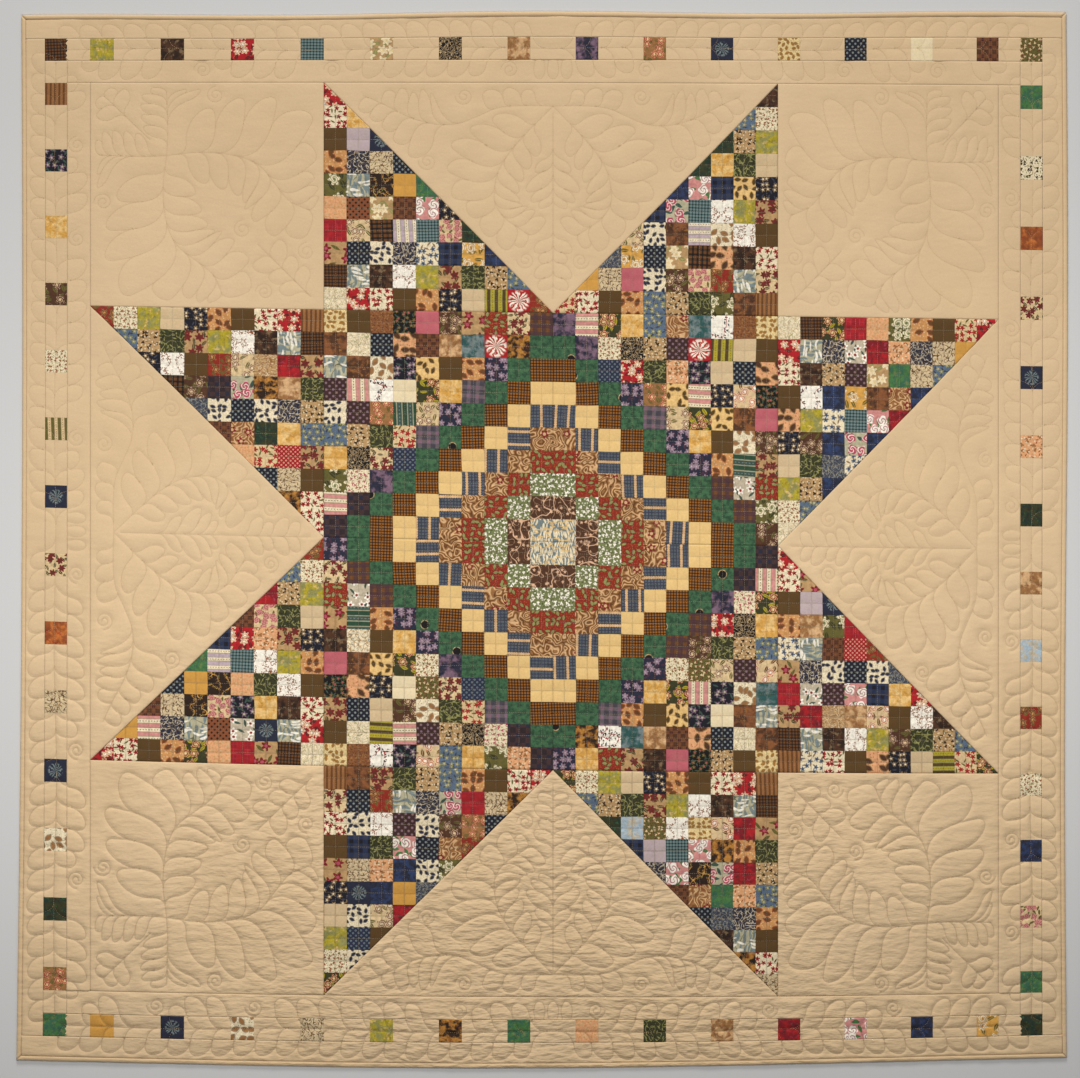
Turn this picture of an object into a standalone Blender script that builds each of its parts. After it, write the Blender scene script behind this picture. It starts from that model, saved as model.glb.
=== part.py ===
"""A pieced star quilt, open and flat, lying face up.

The quilt is laid out in finished squares, u to the right and v up, with the centre of the
star at (0, 0). Each panel that is cut and sewn is one closed solid: the star's centre, its
eight points, the corner squares, the side triangles, three rounds of border strips and the
binding. The top of each solid is low along the quilting and high between it. The underside
is flat, at z = 0. Lengths are in metres once a point leaves the square grid.
"""

import bmesh
import bpy
import math
import numpy as np
from mathutils.geometry import delaunay_2d_cdt

# One finished square of the patchwork, across and down
SQUARE_ACROSS = 0.0508
SQUARE_DOWN = 0.05074

# Lines of the layout, in squares from the centre
STAR_CORE = 10
STAR_REACH = 20
PLAIN_OUT = 21
PIECED_OUT = 22
LAST_OUT = 22.9
RIM = 23.1
VINE_LINE = 21.5
SEAM_GAP = 0.0070

# How far the cloth is pulled off the true grid
MIDDLE_RIGHT = 0.0224
MIDDLE_SAG = 0.0054
MIDDLE_SAG_RIGHT = 0.0208
CROSS_SAG = 0.0050
CROSS_SAG_DOWN = 0.0084

# Inward pull of each outer edge: even part, slope, bow, wave, and the wave's length and crest in squares
EDGE_PULL = {
    "left": (0.0045, 0.0056, 0.0067, 0.0, 1.0, 0.0),
    "right": (-0.0007, 0.0, 0.0, -0.0034, 43.6, 11.8),
    "top": (0.0031, 0.0, 0.0, -0.0031, 21.0, -1.0),
    "bottom": (0.0011, 0.0, 0.0, 0.0025, 40.0, -23.0),
}

# Heights of the top above the underside
STITCH_HEIGHT = 0.0024
SEAM_HEIGHT = 0.0034
STAR_PUFF = 0.0046
PLUME_PUFF = 0.0054
BINDING_CROWN = 0.0050
BINDING_LIP = 0.0018
CREASE_RISE = 0.0005
WRINKLE_RISE = 0.0005

# Spacing of the solid's points, in squares
PLUME_CLEARANCE = 0.16
EDGE_CLEARANCE = 0.20
BORDER_CLEARANCE = 0.12
MIRROR_CLEARANCE = 0.07
PATCH_CENTRE_CLEARANCE = 0.2
ROUND_TIP = 1.7
LONG_BODY = 1.2
UNDER_STEP = 2.5
BINDING_STATIONS = 18
SNAP = 0.06

# Stems of the quilted feathers, in squares from the hub of their spray.
# Corner spray: p and q run to the quilt's corner, and all is mirrored over p = q.
CORNER_HUB = 16.75
CORNER_LONG = ((0, 0), (0.15, -1.5), (0, -3.0), (-0.45, -4.0), (-1.3, -4.7), (-2.0, -5.3), (-2.4, -6.2))
CORNER_SHORT = ((0, 0), (0.8, -0.05), (1.8, -0.03), (2.9, 0.0))
CORNER_INNER = ((-6.2, -6.2), (-5.0, -5.0), (-3.9, -3.9))
CORNER_OUTER = ((0.7, 0.7), (1.6, 1.6), (2.7, 2.7))
CORNER_SPIRALS = ((2.7, -2.1), (-4.2, -6.0))
CORNER_MIDDLE_SPIRAL = (-3.25, -3.25)

# Side spray: p along the border, q towards the middle of the quilt, and all is mirrored over p = 0.
SIDE_HUB = 19.0
SIDE_LOW = (
    (0, 0), (1.3, -0.02), (2.4, 0.08), (3.3, 0.45), (4.2, 0.78),
    (5.2, 0.80), (6.3, 0.5), (7.4, -0.05), (8.3, -0.45),
)
SIDE_VASE = (
    (0, 0), (0.55, 0.55), (1.1, 1.1), (1.85, 1.95), (2.4, 2.85),
    (2.58, 3.8), (2.5, 4.35), (2.1, 4.9), (1.45, 5.35), (1.0, 5.65),
)
SIDE_TREE = ((0, 4.2), (0, 6.2), (0, 8.4))
SIDE_SPIRALS = ((1.2, 6.7), (3.9, -0.42), (5.5, 2.45))

# Border vine: p along the border from its middle, q outwards from the vine's line. One list of
# spirals for the right half of each border and one for the left half.
VINE = ((0, 0), (5.4, 0.07), (10.8, -0.05), (16.2, 0.06), (21.2, 0))
VINE_SPIRALS = (((4.1, -0.92), (13.0, -0.92), (17.2, -0.92)), ((1.9, -0.92), (9.6, -0.92), (15.2, -0.92)))

# Rows of plumes: how many, the share of the stem where they start and end, then for the left
# and the right of the stem the first, middle and last length and the lean in degrees
PLUMES = {
    "corner_long": (8, 0.07, 0.97, (0.9, 3.0, 1.5, 62), (0.9, 1.7, 1.3, 66)),
    "corner_short": (5, 0.14, 0.95, (0.8, 1.1, 0.9, 62), (1.0, 2.0, 1.4, 50)),
    "corner_inner": (4, 0.04, 0.96, None, (0.9, 1.3, 1.1, 55)),
    "corner_outer": (4, 0.04, 0.96, None, (0.5, 0.8, 0.6, 60)),
    "side_low": (11, 0.05, 0.97, (0.7, 1.8, 0.9, 60), (0.8, 1.7, 0.8, 62)),
    "side_vase": (9, 0.14, 0.97, (0.8, 1.15, 0.9, 60), (0.7, 2.5, 1.2, 62)),
    "side_tree": (7, 0.02, 0.97, None, (0.7, 0.75, 0.6, 58)),
    "vine": (22, 0.012, 0.985, (1.45, 1.45, 1.3, 58), (1.62, 1.62, 1.4, 58)),
}
SHRINKS = (1.0, 0.85, 0.7, 0.56, 0.44)
SPIRAL_RADIUS = 0.40

# Shares of a plume's edge and of its tip's arc where they are worked out. The next plume's tip
# comes down on the edge at its heel.
EDGE_SHARES = (0, 0.125, 0.25, 0.375, 0.5, 0.625, 0.75, 0.875, 1)
HALFWAY = 4
HEEL = 6
ARC_SHARES = (0.16, 0.33, 0.5, 0.67, 0.84, 1)
ARC_TOP = 2

# Cloth colours and finish, red, green and blue
CLOTH = {
    "star": (0.26, 0.18, 0.14),
    "tan": (0.60, 0.44, 0.27),
    "binding": (0.54, 0.38, 0.23),
}
COTTON_ROUGHNESS = 0.9


def edge_pull(side, along):
    even, slope, bow, wave, length, crest = EDGE_PULL[side]
    part = along / RIM
    swing = wave * math.cos(2 * math.pi * (along - crest) / length)
    return even + slope * part + bow * (1 - part * part) + swing


def pulled(u, v):
    """A point of the square grid, in metres, where use and washing have pulled it."""
    a = u / VINE_LINE
    b = v / VINE_LINE
    x = SQUARE_ACROSS * u + MIDDLE_RIGHT * (1 - a * a)
    y = SQUARE_DOWN * v
    y -= (MIDDLE_SAG + MIDDLE_SAG_RIGHT * a) * (1 - b * b)
    y -= (CROSS_SAG - CROSS_SAG_DOWN * b) * (1 - a * a)
    loose = RIM - STAR_REACH
    share_u = (max(0.0, abs(u) - STAR_REACH) / loose) ** 2
    share_v = (max(0.0, abs(v) - STAR_REACH) / loose) ** 2
    if u < 0:
        x += share_u * edge_pull("left", v)
    else:
        x -= share_u * edge_pull("right", v)
    if v < 0:
        y += share_v * edge_pull("bottom", u)
    else:
        y -= share_v * edge_pull("top", u)
    return x, y


def middle_of_rim():
    """Centre of the pulled quilt's box, which becomes the origin."""
    steps = [RIM * (2 * i / 60 - 1) for i in range(61)]
    rim = [pulled(s, side) for s in steps for side in (-RIM, RIM)]
    rim += [pulled(side, s) for s in steps for side in (-RIM, RIM)]
    xs = [p[0] for p in rim]
    ys = [p[1] for p in rim]
    return (min(xs) + max(xs)) / 2, (min(ys) + max(ys)) / 2


def unevenness(u, v):
    """Height of the fold creases and of the soft wrinkles across the lower part."""
    upright = math.exp(-((u - 0.3) / 0.35) ** 2) * (1 if v > 9 else 0.3)
    level = math.exp(-((v + 0.1) / 0.35) ** 2) * (1 if u < -9 else 0.3)
    low = min(1.0, max(0.0, (-v - 4) / 12))
    ripple = math.sin(2.3 * v + 0.35 * u + 1.4 * math.sin(0.21 * u)) * math.sin(0.6 * v - 0.11 * u + 1)
    return CREASE_RISE * (upright + level) + WRINKLE_RISE * low * ripple


def smooth_curve(points, step=0.2):
    """Points about one step apart on a smooth curve through the given ones."""
    pts = [np.array(p, dtype=float) for p in points]
    pts = [2 * pts[0] - pts[1]] + pts + [2 * pts[-1] - pts[-2]]
    out = []
    for k in range(1, len(pts) - 2):
        p0, p1, p2, p3 = pts[k - 1:k + 3]
        count = max(2, int(np.linalg.norm(p2 - p1) / step))
        for i in range(count):
            t = i / count
            bend = (2 * p0 - 5 * p1 + 4 * p2 - p3) * t * t
            twist = (3 * p1 - p0 - 3 * p2 + p3) * t ** 3
            out.append(0.5 * (2 * p1 + (p2 - p0) * t + bend + twist))
    out.append(pts[-2])
    return np.array(out)


def point_on(curve, share):
    """Place and direction at a share of a curve's length."""
    spans = np.linalg.norm(np.diff(curve, axis=0), axis=1)
    run = np.concatenate([[0], np.cumsum(spans)])
    want = share * run[-1]
    i = int(np.clip(np.searchsorted(run, want) - 1, 0, len(spans) - 1))
    ahead = (curve[i + 1] - curve[i]) / spans[i]
    return curve[i] + (want - run[i]) * ahead, ahead


def bezier(controls, shares):
    c = np.array(controls)
    n = len(c) - 1
    t = np.array(shares)[:, None]
    return sum(math.comb(n, k) * (1 - t) ** (n - k) * t ** k * c[k] for k in range(n + 1))


def inside_by(points, corners, margins):
    """True when every point lies inside a convex outline by each edge's margin."""
    for k, margin in enumerate(margins):
        a = np.array(corners[k], dtype=float)
        b = np.array(corners[(k + 1) % len(corners)], dtype=float)
        along = (b - a) / np.linalg.norm(b - a)
        rel = points - a
        if (along[0] * rel[:, 1] - along[1] * rel[:, 0]).min() < margin:
            return False
    return True


def plume(root, ahead, aside, size, lean, previous):
    """One plume: its edge leaves along the stem and sweeps out, and its tip rounds back."""
    tip = root + size * (math.cos(lean) * ahead + math.sin(lean) * aside)
    edge = bezier((root, root + 0.5 * size * ahead, tip), EDGE_SHARES)
    outward = (edge[-1] - edge[HEEL]) / np.linalg.norm(edge[-1] - edge[HEEL])
    here = {"edge": edge, "outward": outward, "size": size, "arc": np.zeros((0, 2))}
    if previous is not None:
        heel = previous["edge"][HEEL]
        wide = np.linalg.norm(tip - heel)
        over = tip + 0.55 * wide * outward
        back = heel + 0.75 * wide * previous["outward"]
        here["arc"] = bezier((tip, over, back, heel), ARC_SHARES)
        here["body"] = 0.5 * (edge[HALFWAY] + previous["edge"][HALFWAY])
        here["crown"] = 0.5 * (tip + heel) + 0.1 * wide * outward
    return here


def gap_between(points, others):
    return np.sqrt(((points[:, None] - others[None]) ** 2).sum(2)).min()


def plume_row(stem, side, count, start, end, shape, outline, others):
    """One row of plumes on a stem, each drawn as long as the free cloth around it allows."""
    first, middle, last, lean = shape
    corners, margins = outline
    row = []
    previous = None
    for i in range(count + 1):
        s = i / count
        root, ahead = point_on(stem, start + (end - start) * s)
        aside = side * np.array([-ahead[1], ahead[0]])
        full = first * (1 - s) * (1 - 2 * s) + 4 * middle * s * (1 - s) + last * s * (2 * s - 1)
        fits = None
        for shrink in SHRINKS:
            here = plume(root, ahead, aside, full * shrink, math.radians(lean), previous)
            head = np.vstack([here["edge"][HEEL:], here["arc"][:-1]])
            whole = np.vstack([here["edge"][2:], here["arc"][:-1]])
            free = min(gap_between(head, stem), gap_between(whole, others))
            if free > PLUME_CLEARANCE and inside_by(head, corners, margins):
                fits = here
                break
        if fits is not None:
            row.append(fits)
            if previous is not None:
                previous["followed"] = True
        previous = fits
    return [p for p in row if len(p["arc"]) or "followed" in p]


def ring_of(center, points=7):
    """The outer turn of a quilted spiral."""
    turns = [2 * math.pi * i / points for i in range(points + 1)]
    return np.array([
        (center[0] + SPIRAL_RADIUS * math.cos(t), center[1] + SPIRAL_RADIUS * math.sin(t))
        for t in turns
    ])


def grow_spray(stems, spirals, outline):
    """Stems, spirals and plumes of one half of a spray, in the spray's own frame."""
    curves = [smooth_curve(points) for points, name in stems]
    rings = [ring_of(center) for center in spirals]
    taken = []
    rows = []
    for own, (points, name) in enumerate(stems):
        count, start, end, left, right = PLUMES[name]
        others = np.vstack(rings + taken + [c[4:] for i, c in enumerate(curves) if i != own])
        for side, shape in ((1, left), (-1, right)):
            if shape is None:
                continue
            row = plume_row(curves[own], side, count, start, end, shape, outline, others)
            rows.append(row)
            taken += [np.vstack([p["edge"][1:], p["arc"]]) for p in row]
    return {"stems": list(zip(curves, [name for points, name in stems])), "rings": rings, "rows": rows}


def spray_lines(spray, place):
    """The stitched lines and the puffed points of a half spray, set in the quilt by place."""
    lines = []
    puffs = []
    for curve, name in spray["stems"]:
        count, start, end = PLUMES[name][:3]
        shares = [0.0] + [start + (end - start) * i / count for i in range(count + 1)] + [1.0]
        lines.append([place(*point_on(curve, s)[0]) for s in shares])
    for ring in spray["rings"]:
        lines.append([place(*p) for p in ring])
        puffs.append(place(*ring[:-1].mean(axis=0)))
    for row in spray["rows"]:
        for p in row:
            edge = p["edge"]
            if not len(p["arc"]):
                lines.append([place(*edge[0]), place(*edge[HEEL])])
                continue
            lines.append([place(*edge[0]), place(*edge[HEEL]), place(*edge[-1])])
            over = [p["arc"][ARC_TOP]] if p["size"] > ROUND_TIP else []
            lines.append([place(*q) for q in [edge[-1]] + over + [p["arc"][-1]]])
            puffs.append(place(*p["crown"]))
            if p["size"] > LONG_BODY:
                puffs.append(place(*p["body"]))
    return lines, puffs


def turned(u, v, quarters):
    for _ in range(quarters):
        u, v = -v, u
    return u, v


def corner_quilting():
    low = STAR_CORE - CORNER_HUB
    high = STAR_REACH - CORNER_HUB
    outline = (((low, low), (high, low), (high, high)), (EDGE_CLEARANCE, EDGE_CLEARANCE, MIRROR_CLEARANCE))
    stems = (
        (CORNER_LONG, "corner_long"),
        (CORNER_SHORT, "corner_short"),
        (CORNER_INNER, "corner_inner"),
        (CORNER_OUTER, "corner_outer"),
    )
    spray = grow_spray(stems, CORNER_SPIRALS + (CORNER_MIDDLE_SPIRAL,), outline)
    middle_ring = spray["rings"].pop()
    lines, puffs = spray_lines(spray, lambda p, q: (CORNER_HUB + p, CORNER_HUB + q))
    other = spray_lines(spray, lambda p, q: (CORNER_HUB + q, CORNER_HUB + p))
    ring_line = [(CORNER_HUB + p, CORNER_HUB + q) for p, q in middle_ring]
    return lines + other[0] + [ring_line], puffs + other[1]


def side_quilting():
    low = SIDE_HUB - STAR_REACH
    reach = STAR_REACH - STAR_CORE
    outline = (((0, low), (reach, low), (0, low + reach)), (EDGE_CLEARANCE, EDGE_CLEARANCE, MIRROR_CLEARANCE))
    stems = ((SIDE_VASE, "side_vase"), (SIDE_LOW, "side_low"), (SIDE_TREE, "side_tree"))
    spray = grow_spray(stems, SIDE_SPIRALS, outline)
    lines, puffs = spray_lines(spray, lambda p, q: (p, SIDE_HUB - q))
    other = spray_lines(spray, lambda p, q: (-p, SIDE_HUB - q))
    return lines + other[0], puffs + other[1]


def border_quilting():
    low = STAR_REACH - VINE_LINE
    high = LAST_OUT - VINE_LINE
    corners = ((0, low), (STAR_REACH, low), (LAST_OUT, high), (0, high))
    outline = (corners, (BORDER_CLEARANCE, BORDER_CLEARANCE, BORDER_CLEARANCE, MIRROR_CLEARANCE))
    lines = []
    puffs = []
    for mirror, spirals in zip((1, -1), VINE_SPIRALS):
        spray = grow_spray(((VINE, "vine"),), spirals, outline)
        half = spray_lines(spray, lambda p, q: (mirror * p, VINE_LINE + q))
        lines += half[0]
        puffs += half[1]
    all_lines = []
    all_puffs = []
    for k in range(4):
        all_lines += [[turned(u, v, k) for u, v in line] for line in lines]
        all_puffs += [turned(u, v, k) for u, v in puffs]
    return all_lines, all_puffs


def drawn_in(corners, gap):
    """A convex outline moved inwards by a gap."""
    count = len(corners)
    sides = []
    for k in range(count):
        a = np.array(corners[k], dtype=float)
        b = np.array(corners[(k + 1) % count], dtype=float)
        along = (b - a) / np.linalg.norm(b - a)
        inward = np.array([-along[1], along[0]])
        sides.append((a + gap * inward, along))
    out = []
    for k in range(count):
        p, d = sides[k - 1]
        q, e = sides[k]
        t = ((q - p)[0] * e[1] - (q - p)[1] * e[0]) / (d[0] * e[1] - d[1] * e[0])
        out.append(p + t * d)
    return out


def new_node(name, points, faces, cloth):
    mesh = bpy.data.meshes.new(name)
    mesh.from_pydata(points, [], faces)
    bm = bmesh.new()
    bm.from_mesh(mesh)
    bmesh.ops.recalc_face_normals(bm, faces=bm.faces)
    bm.to_mesh(mesh)
    bm.free()
    node = bpy.data.objects.new(name, mesh)
    node.data.materials.append(bpy.data.materials[cloth])
    bpy.context.collection.objects.link(node)
    return node


class Panel:
    """The points of one panel's top: its outline, the stitched lines and the puffs between."""

    def __init__(self, corners):
        self.corners = drawn_in(corners, SEAM_GAP / 2)
        self.places = [tuple(c) for c in self.corners]
        self.heights = [SEAM_HEIGHT] * len(self.corners)
        self.on_edge = [[] for _ in self.corners]
        self.edges = []

    def side(self, k):
        a = self.corners[k]
        b = self.corners[(k + 1) % len(self.corners)]
        long = np.linalg.norm(b - a)
        along = (b - a) / long
        return a, along, np.array([-along[1], along[0]]), long

    def depth(self, point):
        """Distance to the nearest edge, and which edge it is."""
        found = []
        for k in range(len(self.corners)):
            a, along, inward, long = self.side(k)
            found.append((float(np.dot(np.array(point) - a, inward)), k))
        return min(found)

    def edge_point(self, k, point, height, near=SNAP):
        a, along, inward, long = self.side(k)
        s = float(np.dot(np.array(point) - a, along))
        if s < near:
            return k
        if s > long - near:
            return (k + 1) % len(self.corners)
        for other, index in self.on_edge[k]:
            if abs(other - s) < near:
                return index
        self.places.append(tuple(a + s * along))
        self.heights.append(height)
        self.on_edge[k].append((s, len(self.places) - 1))
        return len(self.places) - 1

    def inner_point(self, point, height):
        gap, k = self.depth(point)
        if gap < SNAP:
            return self.edge_point(k, point, SEAM_HEIGHT)
        start = len(self.corners)
        if len(self.places) > start:
            known = np.array(self.places[start:])
            away = np.linalg.norm(known - np.array(point), axis=1)
            if away.min() < SNAP:
                return start + int(away.argmin())
        self.places.append(tuple(point))
        self.heights.append(height)
        return len(self.places) - 1

    def cut(self, a, b):
        """The part of a straight stitch inside the panel, with the edges where it is cut."""
        a = np.array(a, dtype=float)
        b = np.array(b, dtype=float)
        enter = (0.0, None)
        leave = (1.0, None)
        for k in range(len(self.corners)):
            origin, along, inward, long = self.side(k)
            da = float(np.dot(a - origin, inward))
            db = float(np.dot(b - origin, inward))
            if da < 0 and db < 0:
                return None
            if da < 0 and da / (da - db) > enter[0]:
                enter = (da / (da - db), k)
            if db < 0 and da / (da - db) < leave[0]:
                leave = (da / (da - db), k)
        if leave[0] - enter[0] < 1e-6:
            return None
        return (a + enter[0] * (b - a), enter[1]), (a + leave[0] * (b - a), leave[1])

    def stitch(self, line):
        for a, b in zip(line, line[1:]):
            kept = self.cut(a, b)
            if kept is None:
                continue
            ends = []
            for point, k in kept:
                if k is None:
                    ends.append(self.inner_point(point, STITCH_HEIGHT))
                else:
                    ends.append(self.edge_point(k, point, STITCH_HEIGHT))
            if ends[0] != ends[1]:
                self.edges.append(tuple(ends))

    def puff(self, point, height):
        if self.depth(point)[0] > SNAP * 1.5:
            self.inner_point(point, height)

    def divide_edges(self, step):
        """Points along the outline where no stitch has put one."""
        for k in range(len(self.corners)):
            a, along, inward, long = self.side(k)
            count = max(1, round(long / step))
            for i in range(1, count):
                self.edge_point(k, a + along * long * i / count, SEAM_HEIGHT, 0.4 * step)

    def solid(self, name, cloth, origin):
        """Top, walls and flat underside as one closed mesh."""
        total = len(self.corners)
        chains = []
        for k in range(total):
            chain = [(0.0, k)] + sorted(self.on_edge[k]) + [(self.side(k)[3], (k + 1) % total)]
            chains.append(chain)
        rim = [index for chain in chains for s, index in chain[:-1]]
        rim_edges = list(zip(rim, rim[1:] + rim[:1]))
        flat, _, faces, sources, _, _ = delaunay_2d_cdt(
            self.places, rim_edges + self.edges, [], 1, 1e-6
        )
        heights = []
        index_of = {}
        for i, source in enumerate(sources):
            heights.append(min((self.heights[j] for j in source), default=STITCH_HEIGHT))
            for j in source:
                index_of[j] = i

        def world(u, v, z):
            x, y = pulled(u, v)
            return x - origin[0], y - origin[1], z

        points = [world(p[0], p[1], h + unevenness(p[0], p[1])) for p, h in zip(flat, heights)]
        top = [list(face) for face in faces]

        under = []
        under_chains = []
        for k in range(total):
            a, along, inward, long = self.side(k)
            count = max(1, math.ceil(long / UNDER_STEP))
            chain = []
            for i in range(count):
                chain.append((long * i / count, len(under)))
                under.append(tuple(a + along * long * i / count))
            under_chains.append(chain)
        for k in range(total):
            under_chains[k].append((self.side(k)[3], under_chains[(k + 1) % total][0][1]))
        loop = list(range(len(under)))
        loop_edges = list(zip(loop, loop[1:] + loop[:1]))
        below, _, under_faces, under_sources, _, _ = delaunay_2d_cdt(under, loop_edges, [], 1, 1e-6)
        base = len(points)
        points += [world(p[0], p[1], 0.0) for p in below]
        under_index = {j: base + i for i, source in enumerate(under_sources) for j in source}
        bottom = [[base + i for i in reversed(face)] for face in under_faces]

        walls = []
        for chain, lower in zip(chains, under_chains):
            i = 0
            j = 0
            while i < len(chain) - 1 or j < len(lower) - 1:
                upper_next = chain[i + 1][0] if i < len(chain) - 1 else math.inf
                lower_next = lower[j + 1][0] if j < len(lower) - 1 else math.inf
                t = index_of[chain[i][1]]
                b = under_index[lower[j][1]]
                if lower_next <= upper_next:
                    j += 1
                    walls.append([b, under_index[lower[j][1]], t])
                else:
                    i += 1
                    walls.append([b, index_of[chain[i][1]], t])
        return new_node(name, points, top + bottom + walls, cloth)


def star_panel(name, corners, origin):
    """A panel of small squares, quilted through the middle of every square both ways."""
    panel = Panel(corners)
    lowest = math.floor(min(min(c) for c in corners)) - 1
    highest = math.ceil(max(max(c) for c in corners)) + 1
    ticks = [i + 0.5 for i in range(lowest, highest)]
    for level in ticks:
        panel.stitch([(level, t) for t in ticks])
        panel.stitch([(t, level) for t in ticks])
    for i in range(lowest, highest + 1):
        for j in range(lowest, highest + 1):
            if panel.depth((i, j))[0] > PATCH_CENTRE_CLEARANCE:
                panel.inner_point((i, j), STAR_PUFF)
    return panel.solid(name, "star", origin)


def quilted_panel(name, corners, quilting, origin, quarters=0):
    """A panel of tan cloth with feather quilting."""
    lines, puffs = quilting
    panel = Panel([turned(u, v, quarters) for u, v in corners])
    for line in lines:
        panel.stitch([turned(u, v, quarters) for u, v in line])
    for point in puffs:
        panel.puff(turned(*point, quarters), PLUME_PUFF)
    panel.divide_edges(UNDER_STEP)
    return panel.solid(name, "tan", origin)


def binding_strip(name, quarters, origin):
    """One mitred strip of binding: flat below, with a soft crown and a thin outer lip."""
    inner = LAST_OUT + SEAM_GAP / 2
    mitre_gap = SEAM_GAP * 0.71
    section = (
        (inner, 0.0),
        (inner, SEAM_HEIGHT),
        (inner + 0.055, BINDING_CROWN),
        (RIM - 0.05, BINDING_CROWN * 0.92),
        (RIM, BINDING_LIP),
        (RIM, 0.0),
    )
    points = []
    for i in range(BINDING_STATIONS + 1):
        share = 2 * i / BINDING_STATIONS - 1
        for line, z in section:
            u, v = turned(share * (line - mitre_gap), line, quarters)
            x, y = pulled(u, v)
            lift = unevenness(u, v) if z > BINDING_LIP else 0.0
            points.append((x - origin[0], y - origin[1], z + lift))
    size = len(section)
    faces = []
    for i in range(BINDING_STATIONS):
        for k in range(size):
            a = i * size + k
            b = i * size + (k + 1) % size
            faces.append([a, b, b + size])
            faces.append([a, b + size, a + size])
    last = BINDING_STATIONS * size
    faces += [[0, k + 1, k] for k in range(1, size - 1)]
    faces += [[last, last + k, last + k + 1] for k in range(1, size - 1)]
    return new_node(name, points, faces, "binding")


def strip_corners(inside, outside, quarters):
    """A border strip: the side strips are sewn first, then the top and bottom run past them."""
    half = outside if quarters % 2 == 0 else inside
    return (-half, inside), (half, inside), (half, outside), (-half, outside)


def make_cloth(name, colour):
    material = bpy.data.materials.new(name)
    material.use_nodes = True
    shader = material.node_tree.nodes["Principled BSDF"]
    shader.inputs["Base Color"].default_value = (*colour, 1.0)
    shader.inputs["Roughness"].default_value = COTTON_ROUGHNESS
    shader.inputs["Metallic"].default_value = 0.0


def build():
    for item in list(bpy.data.objects):
        bpy.data.objects.remove(item, do_unlink=True)
    for name, colour in CLOTH.items():
        make_cloth(name, colour)
    origin = middle_of_rim()
    c = STAR_CORE
    r = STAR_REACH
    star_panel("star_center", ((-c, -c), (c, -c), (c, c), (-c, c)), origin)
    point_shapes = (((-c, c), (0, c), (-c, r)), ((0, c), (c, c), (c, r)))
    corner_lines = corner_quilting()
    side_lines = side_quilting()
    border_lines = border_quilting()
    for k in range(4):
        for j, shape in enumerate(point_shapes):
            corners = [turned(u, v, k) for u, v in shape]
            star_panel(f"star_point_{2 * k + j + 1}", corners, origin)
        square = ((c, c), (r, c), (r, r), (c, r))
        triangle = ((0, c), (c, r), (-c, r))
        quilted_panel(f"corner_square_{k + 1}", square, corner_lines, origin, k)
        quilted_panel(f"side_triangle_{k + 1}", triangle, side_lines, origin, k)
        rounds = (
            ("plain_strip", STAR_REACH, PLAIN_OUT),
            ("pieced_strip", PLAIN_OUT, PIECED_OUT),
            ("last_strip", PIECED_OUT, LAST_OUT),
        )
        for name, inside, outside in rounds:
            corners = strip_corners(inside, outside, k)
            quilted_panel(f"{name}_{k + 1}", corners, border_lines, origin, k)
        binding_strip(f"binding_{k + 1}", k, origin)


build()
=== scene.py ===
import math

import bpy
import numpy as np
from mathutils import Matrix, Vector, kdtree
from mathutils.geometry import delaunay_2d_cdt


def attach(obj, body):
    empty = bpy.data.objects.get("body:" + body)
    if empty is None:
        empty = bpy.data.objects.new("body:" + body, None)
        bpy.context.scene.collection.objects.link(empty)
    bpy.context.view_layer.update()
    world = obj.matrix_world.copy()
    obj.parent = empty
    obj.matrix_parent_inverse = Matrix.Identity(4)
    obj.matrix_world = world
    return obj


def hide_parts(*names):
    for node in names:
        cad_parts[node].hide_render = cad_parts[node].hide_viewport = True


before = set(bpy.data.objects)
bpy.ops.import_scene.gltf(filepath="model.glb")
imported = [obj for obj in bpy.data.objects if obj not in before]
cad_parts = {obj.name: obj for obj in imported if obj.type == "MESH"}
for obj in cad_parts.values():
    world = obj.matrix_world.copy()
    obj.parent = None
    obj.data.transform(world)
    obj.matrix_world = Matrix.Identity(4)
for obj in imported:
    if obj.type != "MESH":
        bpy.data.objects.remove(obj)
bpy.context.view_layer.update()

# The quilt is laid out in finished squares, u to the right and v up, from the middle of the star.
# Lines of the layout, in squares, and the size of one square in metres.
layout = {
    "across": 0.0508,
    "down": 0.05074,
    "core": 10,
    "reach": 20,
    "plainOut": 21,
    "piecedOut": 22,
    "lastOut": 22.9,
    "rim": 23.1,
    "vineLine": 21.5,
    "slit": 0.0012,  # half the gap between two panels
}

# How use and washing have pulled the square grid, in metres
pull = {
    "middleRight": 0.0224,
    "middleSag": 0.0054,
    "middleSagRight": 0.0208,
    "crossSag": 0.0050,
    "crossSagDown": 0.0084,
    # even part, slope, bow, wave, then the wave's length and crest in squares
    "left": (0.0045, 0.0056, 0.0067, 0.0, 1.0, 0.0),
    "right": (-0.0007, 0.0, 0.0, -0.0034, 43.6, 11.8),
    "top": (0.0031, 0.0, 0.0, -0.0031, 21.0, -1.0),
    "bottom": (0.0011, 0.0, 0.0, 0.0025, 40.0, -23.0),
    "patchWander": 0.022,  # how far sewn corners wander, in squares
}

# Heights above the flat underside, in metres, and the reach of each slope in squares
relief = {
    "stitch": 0.0024,
    "starPuff": 0.0046,
    "plumePuff": 0.0056,
    "slope": 0.075,
    "slopeHigh": 0.06,  # how much wider the slopes are high up
    "riseHigh": 0.36,  # how full the plumes are high up
    "highFrom": -8,  # where the plumes start to flatten, and over how many squares upwards
    "highOver": 14,
    "starSlope": 0.16,
    "seamSlope": 0.07,
    "seamDip": 0.45,
    "ditchDip": 0.55,
    "borderDip": 0.05,
    "patchSeamDip": 0.00035,
    "patchSeamWidth": 0.05,
    "crease": 0.0006,
    "wrinkle": 0.0011,
    "unevenness": 0.0003,
}


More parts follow.
